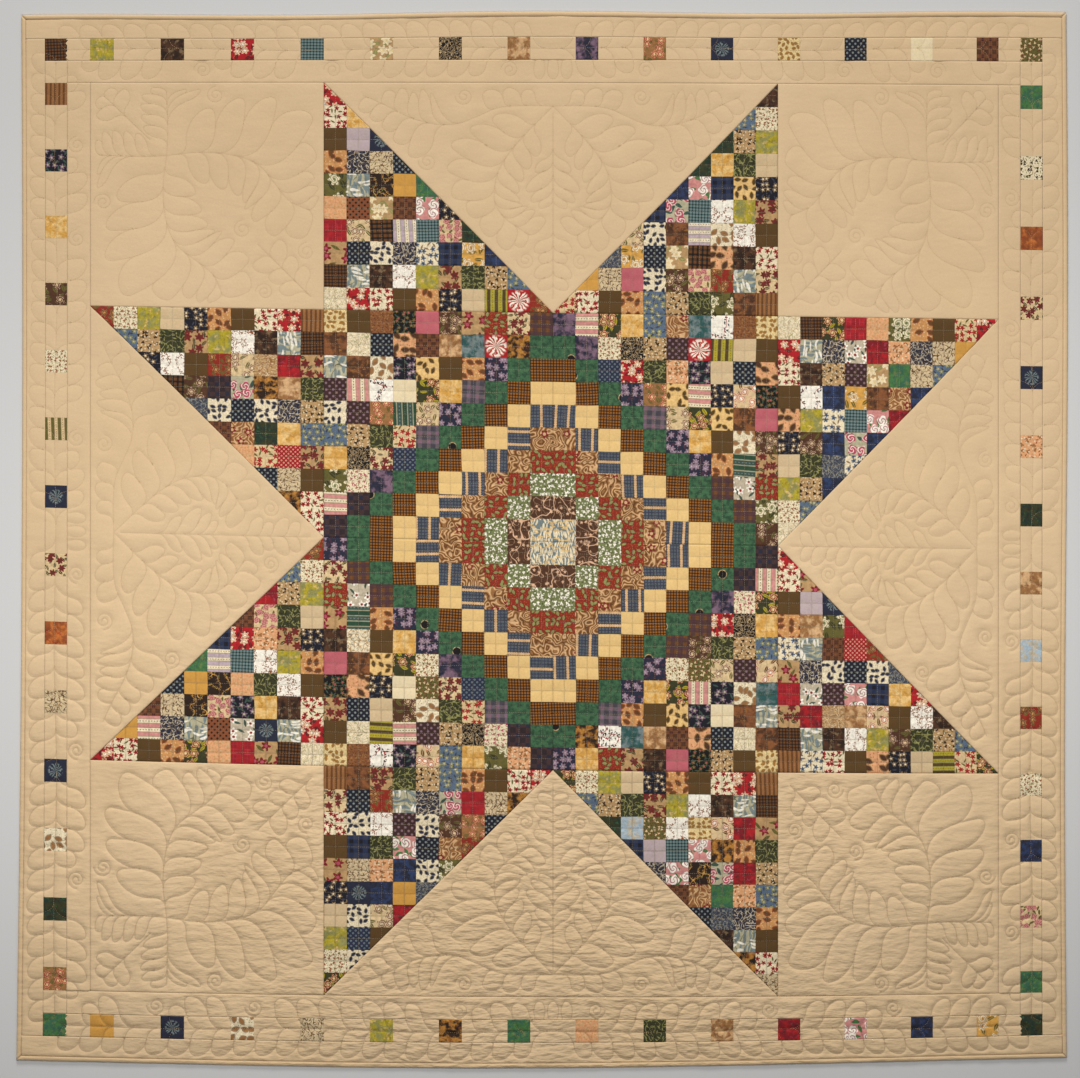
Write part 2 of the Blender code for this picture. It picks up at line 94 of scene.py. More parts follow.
def edgePull(side, along):
    even, slope, bow, wave, length, crest = pull[side]
    part = along / layout["rim"]
    swing = wave * np.cos(2 * np.pi * (along - crest) / length)
    return even + slope * part + bow * (1 - part * part) + swing


# A point of the square grid, in metres, before the quilt's middle is moved to the origin
def pulled(u, v):
    a = u / layout["vineLine"]
    b = v / layout["vineLine"]
    x = layout["across"] * u + pull["middleRight"] * (1 - a * a)
    y = layout["down"] * v
    y = y - (pull["middleSag"] + pull["middleSagRight"] * a) * (1 - b * b)
    y = y - (pull["crossSag"] - pull["crossSagDown"] * b) * (1 - a * a)
    loose = layout["rim"] - layout["reach"]
    shareU = (np.maximum(0, np.abs(u) - layout["reach"]) / loose) ** 2
    shareV = (np.maximum(0, np.abs(v) - layout["reach"]) / loose) ** 2
    x = x + np.where(u < 0, shareU * edgePull("left", v), -shareU * edgePull("right", v))
    y = y + np.where(v < 0, shareV * edgePull("bottom", u), -shareV * edgePull("top", u))
    return x, y


def findMiddle():
    rim = layout["rim"]
    steps = rim * (2 * np.arange(61) / 60 - 1)
    edge = np.full(61, rim)
    sides = [pulled(steps, edge), pulled(steps, -edge), pulled(edge, steps), pulled(-edge, steps)]
    xs = np.concatenate([side[0] for side in sides])
    ys = np.concatenate([side[1] for side in sides])
    return (xs.min() + xs.max()) / 2, (ys.min() + ys.max()) / 2


middle = findMiddle()


# Smooth unevenness from -1 to 1 on a lattice of one unit
def softNoise(x, y, seed):
    column = np.floor(x)
    row = np.floor(y)
    fx = x - column
    fy = y - row
    fx = fx * fx * (3 - 2 * fx)
    fy = fy * fy * (3 - 2 * fy)

    def corner(i, j):
        mixed = np.sin((column + i) * 127.1 + (row + j) * 311.7 + seed * 74.7) * 43758.5453
        return 2 * (mixed - np.floor(mixed)) - 1

    low = corner(0, 0) * (1 - fx) + corner(1, 0) * fx
    high = corner(0, 1) * (1 - fx) + corner(1, 1) * fx
    return low * (1 - fy) + high * fy


# Where the quilt has been folded, and where it hangs slack, in squares
folds = {
    "upright": (0.3, 0.22),  # place and width
    "uprightAbove": (9, 1.0, 0.25),  # full above here, and faint below
    # place, tilt, width and share of each level crease
    "level": ((-0.1, 0, 0.18, 1.0), (-0.62, -0.015, 0.13, 0.7), (0.34, 0.01, 0.12, 0.5)),
    "levelLeftOf": (-9, 1.0, 0.2),
    "slackBelow": (-3, 12),  # from here downwards, and full after so many squares
    "slackShares": (0.10, 0.9),
}


# Height of the fold creases, the soft wrinkles low down and the cloth's own unevenness
def unevenness(u, v):
    place, width = folds["upright"]
    line, full, faint = folds["uprightAbove"]
    upright = np.exp(-((u - place) / width) ** 2) * np.where(v > line, full, faint)
    level = 0
    for place, tilt, width, share in folds["level"]:
        level = level + share * np.exp(-((v - place - tilt * u) / width) ** 2)
    line, full, faint = folds["levelLeftOf"]
    level = level * np.where(u < line, full, faint)
    start, over = folds["slackBelow"]
    low = np.clip((start - v) / over, 0, 1)
    least, rest = folds["slackShares"]
    drift = u + 1.5 * softNoise(u / 4, v / 4, 11)
    wrinkle = softNoise(drift / 1.9, (v + 0.22 * np.sin(0.5 * u)) / 0.36, 3)
    broad = softNoise(drift / 2.6, v / 0.95, 5)
    fine = softNoise(u / 0.55, v / 0.45, 8)
    height = relief["crease"] * (upright + level)
    height = height + relief["wrinkle"] * (least + rest * low) * (0.6 * wrinkle + 0.5 * broad)
    return height + relief["unevenness"] * fine


# Sewn corners wander a little off the grid
def wander(u, v):
    shift = pull["patchWander"]
    du = softNoise(u / 1.3 + 9, v / 1.3, 21) + 0.6 * softNoise(u / 0.9, v / 3.1 + 4, 22)
    dv = softNoise(u / 1.3, v / 1.3 + 9, 23) + 0.6 * softNoise(u / 3.1 + 4, v / 0.9, 24)
    return shift * du, shift * dv


def turned(points, quarters):
    for _ in range(quarters % 4):
        points = np.stack([-points[:, 1], points[:, 0]], axis=1)
    return points


# Feather quilting. Stems in squares from the hub of their spray. Corner spray: both ways run to
# the quilt's corner, mirrored over the diagonal. Side spray: along the border, then towards the
# middle, mirrored. Vine: along the border from its middle, then outwards.
feathers = {
    "cornerHub": 16.75,
    "cornerLong": (
        (0, 0), (0.15, -1.5), (0, -3.0), (-0.45, -4.0),
        (-1.3, -4.7), (-2.0, -5.3), (-2.4, -6.2),
    ),
    "cornerShort": ((0, 0), (0.8, -0.05), (1.8, -0.03), (2.9, 0.0)),
    "cornerInner": ((-6.2, -6.2), (-5.0, -5.0), (-3.9, -3.9)),
    "cornerOuter": ((0.7, 0.7), (1.6, 1.6), (2.7, 2.7)),
    "cornerSpirals": ((2.7, -2.1), (-4.2, -6.0), (-3.25, -3.25)),
    "sideHub": 19.0,
    "sideLow": (
        (0, 0), (1.3, -0.02), (2.4, 0.08), (3.3, 0.45), (4.2, 0.78),
        (5.2, 0.80), (6.3, 0.5), (7.4, -0.05), (8.3, -0.45),
    ),
    "sideVase": (
        (0, 0), (0.55, 0.55), (1.1, 1.1), (1.85, 1.95), (2.4, 2.85),
        (2.58, 3.8), (2.5, 4.35), (2.1, 4.9), (1.45, 5.35), (1.0, 5.65),
    ),
    "sideTree": ((0, 4.2), (0, 6.2), (0, 8.4)),
    "sideHeart": ((0, 0.3), (0, 2.2), (0, 4.1)),
    "sideSpirals": ((1.2, 6.7), (3.9, -0.42), (5.5, 2.45)),
    "vine": ((0, 0), (5.4, 0.07), (10.8, -0.05), (16.2, 0.06), (21.2, 0)),
    "vineSpirals": (
        ((4.1, -0.92), (13.0, -0.92), (17.2, -0.92)),
        ((1.9, -0.92), (9.6, -0.92), (15.2, -0.92)),
    ),
    "loop": (
        (-0.19, -0.55), (-0.25, -0.9), (-0.17, -1.22), (0, -1.32),
        (0.17, -1.22), (0.25, -0.9), (0.19, -0.55),
    ),
    "loopPlaces": (-0.60, 0, 0.60),
    "spiralRadius": 0.40,
    "spiralTurns": 1.75,
    "stemClearance": 0.16,
    "edgeClearance": 0.20,
    "borderClearance": 0.12,
    "mirrorClearance": 0.07,
}

# Rows of plumes: how many, the share of the stem where they start and end, then for the left
# and the right of the stem the first, middle and last length and the lean in degrees
plumes = {
    "cornerLong": (8, 0.07, 0.97, (0.9, 3.0, 1.5, 62), (0.9, 1.7, 1.3, 66)),
    "cornerShort": (5, 0.14, 0.95, (0.8, 1.1, 0.9, 62), (1.0, 2.0, 1.4, 50)),
    "cornerInner": (4, 0.04, 0.96, None, (0.9, 1.3, 1.1, 55)),
    "cornerOuter": (4, 0.04, 0.96, None, (0.5, 0.8, 0.6, 60)),
    "sideLow": (11, 0.05, 0.97, (0.7, 1.8, 0.9, 60), (0.8, 1.7, 0.8, 62)),
    "sideVase": (9, 0.14, 0.97, (0.8, 1.15, 0.9, 60), (0.7, 2.5, 1.2, 62)),
    "sideTree": (7, 0.02, 0.97, None, (0.7, 0.75, 0.6, 58)),
    "sideHeart": (6, 0.10, 0.98, None, (0.5, 1.45, 0.9, 48)),
    "vine": (22, 0.012, 0.985, (1.45, 1.45, 1.3, 58), (1.62, 1.62, 1.4, 58)),
}

# Shares along a plume's edge and its tip's arc where the room for it is tested
plumeTest = {
    "edge": (0, 0.125, 0.25, 0.375, 0.5, 0.625, 0.75, 0.875, 1),
    "heel": 6,
    "arc": (0.16, 0.33, 0.5, 0.67, 0.84, 1),
    "shrinks": (1.0, 0.85, 0.7, 0.56, 0.44),
}


def smoothCurve(points, step=0.2):
    pts = [np.array(p, dtype=float) for p in points]
    pts = [2 * pts[0] - pts[1]] + pts + [2 * pts[-1] - pts[-2]]
    out = []
    for k in range(1, len(pts) - 2):
        p0, p1, p2, p3 = pts[k - 1:k + 3]
        count = max(2, int(np.linalg.norm(p2 - p1) / step))
        for i in range(count):
            t = i / count
            bend = (2 * p0 - 5 * p1 + 4 * p2 - p3) * t * t
            twist = (3 * p1 - p0 - 3 * p2 + p3) * t ** 3
            out.append(0.5 * (2 * p1 + (p2 - p0) * t + bend + twist))
    out.append(pts[-2])
    return np.array(out)


# Length run along a line, up to each of its points
def runAlong(line):
    return np.concatenate([[0], np.cumsum(np.linalg.norm(np.diff(line, axis=0), axis=1))])


def pointOn(curve, share):
    run = runAlong(curve)
    want = share * run[-1]
    i = int(np.clip(np.searchsorted(run, want) - 1, 0, len(curve) - 2))
    ahead = (curve[i + 1] - curve[i]) / np.linalg.norm(curve[i + 1] - curve[i])
    return curve[i] + (want - run[i]) * ahead, ahead


def evenly(line, step):
    run = runAlong(line)
    count = max(2, int(round(run[-1] / step)) + 1)
    want = np.linspace(0, run[-1], count)
    return np.stack([np.interp(want, run, line[:, 0]), np.interp(want, run, line[:, 1])], axis=1)


def bezier(controls, shares):
    c = np.array(controls)
    n = len(c) - 1
    t = np.array(shares)[:, None]
    return sum(math.comb(n, k) * (1 - t) ** (n - k) * t ** k * c[k] for k in range(n + 1))


# Each side of a convex panel: its start, its direction and the way inwards
def sidesOf(corners):
    sides = []
    for k in range(len(corners)):
        a = np.array(corners[k], dtype=float)
        b = np.array(corners[(k + 1) % len(corners)], dtype=float)
        along = (b - a) / np.linalg.norm(b - a)
        sides.append((a, along, np.array([-along[1], along[0]])))
    return sides


# Distance inside each side of a convex panel, one column a side
def edgeGaps(points, corners):
    gaps = []
    for start, along, _ in sidesOf(corners):
        rel = points - start
        gaps.append(along[0] * rel[:, 1] - along[1] * rel[:, 0])
    return np.stack(gaps, axis=1)


def insideBy(points, corners, margins):
    return (edgeGaps(points, corners).min(axis=0) >= margins).all()


def drawnIn(corners, gap):
    sides = [(start + gap * inwards, along) for start, along, inwards in sidesOf(corners)]
    out = []
    for k, (q, e) in enumerate(sides):
        p, d = sides[k - 1]
        t = ((q - p)[0] * e[1] - (q - p)[1] * e[0]) / (d[0] * e[1] - d[1] * e[0])
        out.append(p + t * d)
    return out


# One plume: its edge leaves along the stem and sweeps out, and its tip rounds back to the last one
def makePlume(root, ahead, aside, size, lean, previous):
    heelAt = plumeTest["heel"]
    tip = root + size * (math.cos(lean) * ahead + math.sin(lean) * aside)
    sweep = (root, root + 0.5 * size * ahead, tip)
    edge = bezier(sweep, plumeTest["edge"])
    outward = (edge[-1] - edge[heelAt]) / np.linalg.norm(edge[-1] - edge[heelAt])
    here = {"edge": edge, "outward": outward, "sweep": sweep, "arc": np.zeros((0, 2)), "turn": None}
    if previous is not None:
        heel = previous["edge"][heelAt]
        wide = np.linalg.norm(tip - heel)
        here["turn"] = (tip, tip + 0.55 * wide * outward, heel + 0.75 * wide * previous["outward"], heel)
        here["arc"] = bezier(here["turn"], plumeTest["arc"])
    return here


def gapBetween(points, others):
    return np.sqrt(((points[:, None] - others[None]) ** 2).sum(2)).min()


def plumeRow(stem, side, count, start, end, shape, outline, others):
    first, mid, last, lean = shape
    corners, margins = outline
    row = []
    previous = None
    for i in range(count + 1):
        s = i / count
        root, ahead = pointOn(stem, start + (end - start) * s)
        aside = side * np.array([-ahead[1], ahead[0]])
        full = first * (1 - s) * (1 - 2 * s) + 4 * mid * s * (1 - s) + last * s * (2 * s - 1)
        fits = None
        for shrink in plumeTest["shrinks"]:
            here = makePlume(root, ahead, aside, full * shrink, math.radians(lean), previous)
            head = np.vstack([here["edge"][plumeTest["heel"]:], here["arc"][:-1]])
            whole = np.vstack([here["edge"][2:], here["arc"][:-1]])
            free = min(gapBetween(head, stem), gapBetween(whole, others))
            if free > feathers["stemClearance"] and insideBy(head, corners, margins):
                fits = here
                break
        if fits is not None:
            row.append(fits)
            if previous is not None:
                previous["followed"] = True
        previous = fits
    return [p for p in row if p["turn"] or "followed" in p]


def circlePoints(center, reach, angle):
    return np.stack([center[0] + reach * np.cos(angle), center[1] + reach * np.sin(angle)], axis=1)


def spiral(center):
    share = np.linspace(0, 1, 40)
    reach = feathers["spiralRadius"] * (1 - 0.82 * share)
    return circlePoints(center, reach, 2 * np.pi * feathers["spiralTurns"] * share)


def ringOf(center, points=7):
    return circlePoints(center, feathers["spiralRadius"], 2 * np.pi * np.arange(points + 1) / points)


# Finely drawn lines of one half of a spray, in the spray's own frame
def growSpray(names, spirals, outline):
    curves = [smoothCurve(feathers[name]) for name in names]
    rings = [ringOf(center) for center in spirals]
    taken = []
    lines = [smoothCurve(feathers[name], 0.07) for name in names]
    lines += [spiral(center) for center in spirals]
    for own, name in enumerate(names):
        count, start, end, left, right = plumes[name]
        others = np.vstack(rings + taken + [c[4:] for i, c in enumerate(curves) if i != own])
        for side, shape in ((1, left), (-1, right)):
            if shape is None:
                continue
            row = plumeRow(curves[own], side, count, start, end, shape, outline, others)
            taken += [np.vstack([p["edge"][1:], p["arc"]]) for p in row]
            for p in row:
                if p["turn"] is None:
                    lines.append(bezier(p["sweep"], np.linspace(0, 0.75, 12)))
                else:
                    outwards = bezier(p["sweep"], np.linspace(0, 1, 18))
                    back = bezier(p["turn"], np.linspace(0, 1, 16))
                    lines.append(np.vstack([outwards, back[1:]]))
    return lines


# A spray's lines, grown in one half of it that two edges and its own middle line bound
def sprayLines(names, spirals, outline):
    edge = feathers["edgeClearance"]
    return growSpray(names, spirals, (outline, (edge, edge, feathers["mirrorClearance"])))


def cornerQuilting():
    hub = feathers["cornerHub"]
    low = layout["core"] - hub
    high = layout["reach"] - hub
    names = ("cornerLong", "cornerShort", "cornerInner", "cornerOuter")
    lines = sprayLines(names, feathers["cornerSpirals"], ((low, low), (high, low), (high, high)))
    drawn = [line + hub for line in lines]
    midSpiral = drawn.pop(len(names) + 2)
    return drawn + [line[:, ::-1] for line in drawn] + [midSpiral]


def sideQuilting():
    hub = feathers["sideHub"]
    low = hub - layout["reach"]
    wide = layout["reach"] - layout["core"]
    names = ("sideVase", "sideLow", "sideTree", "sideHeart")
    lines = sprayLines(names, feathers["sideSpirals"], ((0, low), (wide, low), (0, low + wide)))
    return [line * (mirror, -1) + (0, hub) for mirror in (1, -1) for line in lines]


def borderQuilting():
    vine = layout["vineLine"]
    low = layout["reach"] - vine
    high = layout["lastOut"] - vine
    clear = feathers["borderClearance"]
    corners = ((0, low), (layout["reach"], low), (layout["lastOut"], high), (0, high))
    outline = (corners, (clear, clear, clear, feathers["mirrorClearance"]))
    drawn = []
    for mirror, spirals in zip((1, -1), feathers["vineSpirals"]):
        drawn += [line * (mirror, 1) + (0, vine) for line in growSpray(("vine",), spirals, outline)]
    loop = smoothCurve(feathers["loop"], 0.07)
    drawn += [loop + (place, vine) for place in feathers["loopPlaces"]]
    return [turned(line, k) for k in range(4) for line in drawn]


# The parts of a line that lie inside a panel by a margin
def clipped(line, corners, margin):
    keep = edgeGaps(line, corners).min(axis=1) > margin
    runs = []
    start = None
    for i, kept in enumerate(list(keep) + [False]):
        if kept and start is None:
            start = i
        if not kept and start is not None:
            if i - start > 1:
                runs.append(line[start:i])
            start = None
    return runs


def treeOf(points):
    tree = kdtree.KDTree(len(points))
    for i, (u, v) in enumerate(points.tolist()):
        tree.insert((u, v, 0.0), i)
    tree.balance()
    return tree


def distances(points, tree):
    return np.array([tree.find((u, v, 0.0))[2] for u, v in points.tolist()])


# Dyes of the cotton scraps, written as on screen
palette = {
    "white": "f2e8d6", "ivory": "e6d4b0", "cream": "d6b98a", "butter": "e0c48a", "straw": "e3ba76",
    "beige": "cfb890", "tan": "b58f60", "sand": "d2a878", "caramel": "96683c", "taupe": "8a7050",
    "grey": "8c8474", "silver": "bfb096", "gold": "d29c48", "amber": "b87e36", "ochre": "9c6c2c",
    "honey": "985c1c", "peach": "dca070", "apricot": "c88e54", "orange": "c06c30", "rust": "8c4822",
    "copper": "86522e", "brick": "8c2a1a", "red": "a81c20", "crimson": "7c1a20", "maroon": "45201c",
    "burgundy": "56222a", "blush": "dcb08c", "pink": "cc8880", "rose": "b24c5a", "raspberry": "96384c",
    "plum": "4a2c38", "mauve": "7c6070", "lilac": "b6a0a6", "navy": "262838", "midnight": "1a1820",
    "denim": "58687a", "blue": "2e3c5e", "sky": "a4b4bc", "slate": "74807e", "teal": "2c5450",
    "sea": "365f47", "seaPale": "416644", "deepSea": "2b4732", "pine": "3c5044", "bottle": "223226",
    "forest": "38381e", "green": "44703c", "mint": "b2aa8a", "sage": "727847", "moss": "625a2a",
    "olive": "523e1c", "lime": "ac9a26", "brown": "68401e", "walnut": "50321f", "chocolate": "3a2418",
    "umber": "2c1c12", "black": "16120f", "steel": "3c3e4a", "check": "8a5218", "leaf": "8c8850",
}


def onScreenToLinear(code):
    parts = [int(code[i:i + 2], 16) / 255 for i in (0, 2, 4)]
    return [p / 12.92 if p <= 0.04045 else ((p + 0.055) / 1.055) ** 2.4 for p in parts]


palette = {name: onScreenToLinear(code) for name, code in palette.items()}
dyeNames = ("groundDye", "motifDye", "accentDye", "leafDye")
centredPrints = ("burst",)
squareInCm = 5.08

# Each scrap: its kind of print, its ground, motif, accent and leaf dyes, and its repeat in cm
fabrics = {
    "willow": ("longLeaf", ("slate", "ivory", "straw", "denim"), 1.45),
    "branch": ("branch", ("walnut", "blush", "blush", "copper"), 3.2),
    "sageBloom": ("ditsy", ("sage", "white", "white", "forest"), 1.2),
    "redLeaf": ("leafy", ("brick", "leaf", "amber", "umber"), 1.45),
    "tanPaisley": ("paisley", ("caramel", "sand", "brown", "crimson"), 2.6),
    "blueRibbon": ("ribbon", ("sand", "steel", "slate", "blue"), 2.9),
    "strawPlain": ("plain", ("straw", "butter", "straw", "straw"), 1.6),
    "brownCheck": ("check", ("honey", "umber", "black", "caramel"), 0.64),
    "seaGreen": ("ringDot", ("seaPale", "deepSea", "black", "sand"), 3.6),
    "violet": ("bigBloom", ("navy", "mauve", "lilac", "plum"), 1.8),
    "violetBatik": ("plaid", ("brown", "navy", "plum", "copper"), 1.8),
    "creamRed": ("bigBloom", ("caramel", "red", "butter", "moss"), 2.2),
    "greyGreen": ("floral", ("silver", "white", "brick", "pine"), 2.3),
    "orangeSprig": ("leafy", ("apricot", "brown", "ivory", "brick"), 2.1),
    "greenStripe": ("stripe", ("pine", "deepSea", "mint", "slate"), 2.4),
    "garnetTan": ("floral", ("tan", "crimson", "rose", "moss"), 3.0),
    "goldMottle": ("mottled", ("gold", "straw", "butter", "ochre"), 2.2),
    "olivePlain": ("plain", ("olive", "brown", "olive", "olive"), 1.6),
    "whiteGrey": ("scroll", ("ivory", "tan", "slate", "grey"), 2.0),
    "darkBrown": ("mottled", ("umber", "walnut", "taupe", "black"), 2.2),
    "navyViolet": ("mottled", ("navy", "mauve", "midnight", "walnut"), 2.4),
    "creamDitsy": ("ditsy", ("ivory", "rust", "leaf", "moss"), 0.95),
    "garden": ("bigBloom", ("forest", "brick", "butter", "lime"), 2.6),
    "goldLeaf": ("leafy", ("straw", "olive", "cream", "ochre"), 1.8),
    "brownMottle": ("mottled", ("walnut", "copper", "chocolate", "amber"), 2.6),
    "dustyPink": ("plain", ("rose", "pink", "rose", "rose"), 1.6),
    "navyDot": ("dots", ("navy", "slate", "steel", "blue"), 1.15),
    "posy": ("bigBloom", ("cream", "crimson", "walnut", "forest"), 2.0),
    "sageDitsy": ("ditsy", ("moss", "cream", "crimson", "forest"), 1.0),
    "butterPlain": ("plain", ("ivory", "butter", "ivory", "ivory"), 1.6),
    "navyFloral": ("floral", ("midnight", "taupe", "ivory", "steel"), 1.5),
    "peachLeaf": ("leafy", ("peach", "walnut", "brick", "moss"), 2.4),
    "blackFloral": ("floral", ("black", "moss", "rose", "pine"), 1.2),
    "purplePlaid": ("plaid", ("mauve", "pine", "navy", "copper"), 1.9),
    "berry": ("floral", ("cream", "red", "brick", "moss"), 1.6),
    "greenScroll": ("scroll", ("forest", "leaf", "black", "moss"), 2.1),
    "whiteLeaf": ("leafy", ("ivory", "caramel", "moss", "brown"), 2.0),
    "burgundyBloom": ("bigBloom", ("walnut", "burgundy", "cream", "moss"), 2.6),
    "beigePlain": ("plain", ("beige", "sand", "beige", "beige"), 1.6),
    "navyDots": ("dots", ("midnight", "slate", "grey", "navy"), 1.3),
    "tanPosy": ("bigBloom", ("tan", "crimson", "walnut", "forest"), 2.4),
    "navyPlaid": ("plaid", ("navy", "walnut", "midnight", "maroon"), 2.2),
    "pinkDitsy": ("ditsy", ("ivory", "rose", "leaf", "copper"), 1.1),
    "blackScroll": ("scroll", ("black", "taupe", "cream", "brown"), 1.6),
    "tanDitsy": ("ditsy", ("tan", "umber", "ivory", "moss"), 1.35),
    "plumRings": ("dots", ("chocolate", "mauve", "taupe", "plum"), 1.5),
    "pinkStripe": ("stripe", ("ivory", "pink", "taupe", "umber"), 1.9),
    "limeStripe": ("stripe", ("lime", "olive", "leaf", "moss"), 1.7),
    "creamScroll": ("scroll", ("ivory", "beige", "leaf", "taupe"), 2.0),
    "peachSprig": ("ditsy", ("peach", "caramel", "ivory", "rust"), 1.55),
    "bigLeaf": ("bigBloom", ("moss", "ivory", "sage", "forest"), 3.4),
    "goldTan": ("mottled", ("gold", "straw", "amber", "sand"), 2.0),
    "blueDots": ("floral", ("denim", "leaf", "silver", "steel"), 1.4),
    "orangeBloom": ("bigBloom", ("cream", "orange", "white", "brown"), 2.6),
    "darkViolet": ("floral", ("midnight", "mauve", "mint", "pine"), 1.8),
    "whiteLine": ("sprig", ("white", "navy", "red", "forest"), 2.6),
    "brownDitsy": ("ditsy", ("copper", "caramel", "walnut", "umber"), 0.9),
    "goldPrint": ("leafy", ("butter", "ochre", "caramel", "brown"), 1.15),
    "redFloral": ("bigBloom", ("red", "apricot", "white", "maroon"), 2.2),
    "roseCream": ("floral", ("ivory", "red", "maroon", "moss"), 1.5),
    "lilacPlain": ("plain", ("lilac", "silver", "lilac", "lilac"), 1.6),
    "navyStar": ("burst", ("navy", "slate", "midnight", "blue"), 3.0),
    "navyScroll": ("scroll", ("navy", "silver", "taupe", "midnight"), 1.7),
    "tanScroll": ("scroll", ("beige", "walnut", "tan", "umber"), 1.7),
    "blueLeaf": ("longLeaf", ("mint", "slate", "white", "forest"), 2.4),
    "brownSprig": ("sprig", ("umber", "caramel", "gold", "sage"), 1.8),
    "goldPlain": ("plain", ("gold", "amber", "gold", "gold"), 1.6),
    "greenMottle": ("mottled", ("green", "sea", "sage", "pine"), 1.8),
    "peachDot": ("ditsy", ("peach", "sand", "apricot", "sand"), 1.4),
    "leopard": ("dots", ("copper", "umber", "black", "crimson"), 1.3),
    "tanBloom": ("bigBloom", ("tan", "ivory", "butter", "leaf"), 2.8),
    "maroonPlaid": ("plaid", ("maroon", "copper", "umber", "caramel"), 1.8),
    "pinkRose": ("rosy", ("pink", "white", "raspberry", "green"), 2.7),
    "redPlain": ("plaid", ("red", "crimson", "red", "rose"), 3.0),
    "rustBloom": ("bigBloom", ("cream", "copper", "ivory", "moss"), 2.6),
    "brownPlaid": ("check", ("brown", "black", "black", "tan"), 1.1),
    "lilacStripe": ("stripe", ("ivory", "lilac", "grey", "mauve"), 1.8),
    "tealCheck": ("check", ("slate", "teal", "midnight", "mint"), 0.7),
    "creamPink": ("rosy", ("cream", "pink", "brick", "moss"), 1.7),
    "darkGreen": ("mottled", ("bottle", "forest", "umber", "green"), 2.0),
    "navyLeaf": ("leafy", ("ivory", "navy", "taupe", "steel"), 1.4),
    "whiteBlue": ("floral", ("ivory", "denim", "steel", "taupe"), 1.6),
    "navySquare": ("plaid", ("midnight", "blue", "steel", "black"), 2.0),
    "goldGreen": ("bigBloom", ("gold", "ivory", "amber", "moss"), 3.0),
    "navyPlain": ("mottled", ("navy", "blue", "midnight", "navy"), 1.6),
    "tattersall": ("check", ("brown", "umber", "black", "copper"), 0.7),
    "limeMottle": ("mottled", ("lime", "leaf", "straw", "moss"), 2.2),
    "whiteArc": ("sprig", ("white", "copper", "rust", "taupe"), 1.8),
    "redFan": ("burst", ("red", "white", "blush", "crimson"), 4.4),
    "redBrown": ("bigBloom", ("brick", "walnut", "apricot", "moss"), 2.2),
    "darkRed": ("mottled", ("crimson", "red", "maroon", "rose"), 2.4),
    "diagonal": ("stripe", ("caramel", "brown", "copper", "rust"), 1.0),
    "swirl": ("scroll", ("tan", "caramel", "ivory", "beige"), 1.8),
    "aquaPink": ("rosy", ("mint", "rose", "white", "pine"), 2.5),
    "rustMottle": ("mottled", ("umber", "amber", "rust", "black"), 1.8),
    "brownPaisley": ("paisley", ("caramel", "sand", "copper", "crimson"), 2.4),
    "redDots": ("dots", ("red", "blush", "rose", "crimson"), 1.0),
    "whiteTiny": ("ditsy", ("ivory", "umber", "moss", "leaf"), 1.15),
    "greySwirl": ("scroll", ("steel", "grey", "slate", "silver"), 1.5),
    "skyPlain": ("mottled", ("sky", "silver", "sky", "slate"), 2.2),
    "tealPlain": ("mottled", ("teal", "slate", "deepSea", "steel"), 2.4),
    "copperTan": ("mottled", ("caramel", "sand", "copper", "tan"), 2.4),
    "brownStripe": ("stripe", ("cream", "moss", "taupe", "brown"), 1.55),
    "rustSwirl": ("mottled", ("rust", "orange", "brick", "copper"), 3.0),
}

# Rings 0 to 8 of the star's middle hold one fabric each, counted from the middle.
ringFabrics = (
    "willow", "branch", "sageBloom", "redLeaf", "tanPaisley",
    "blueRibbon", "strawPlain", "brownCheck", "seaGreen",
)
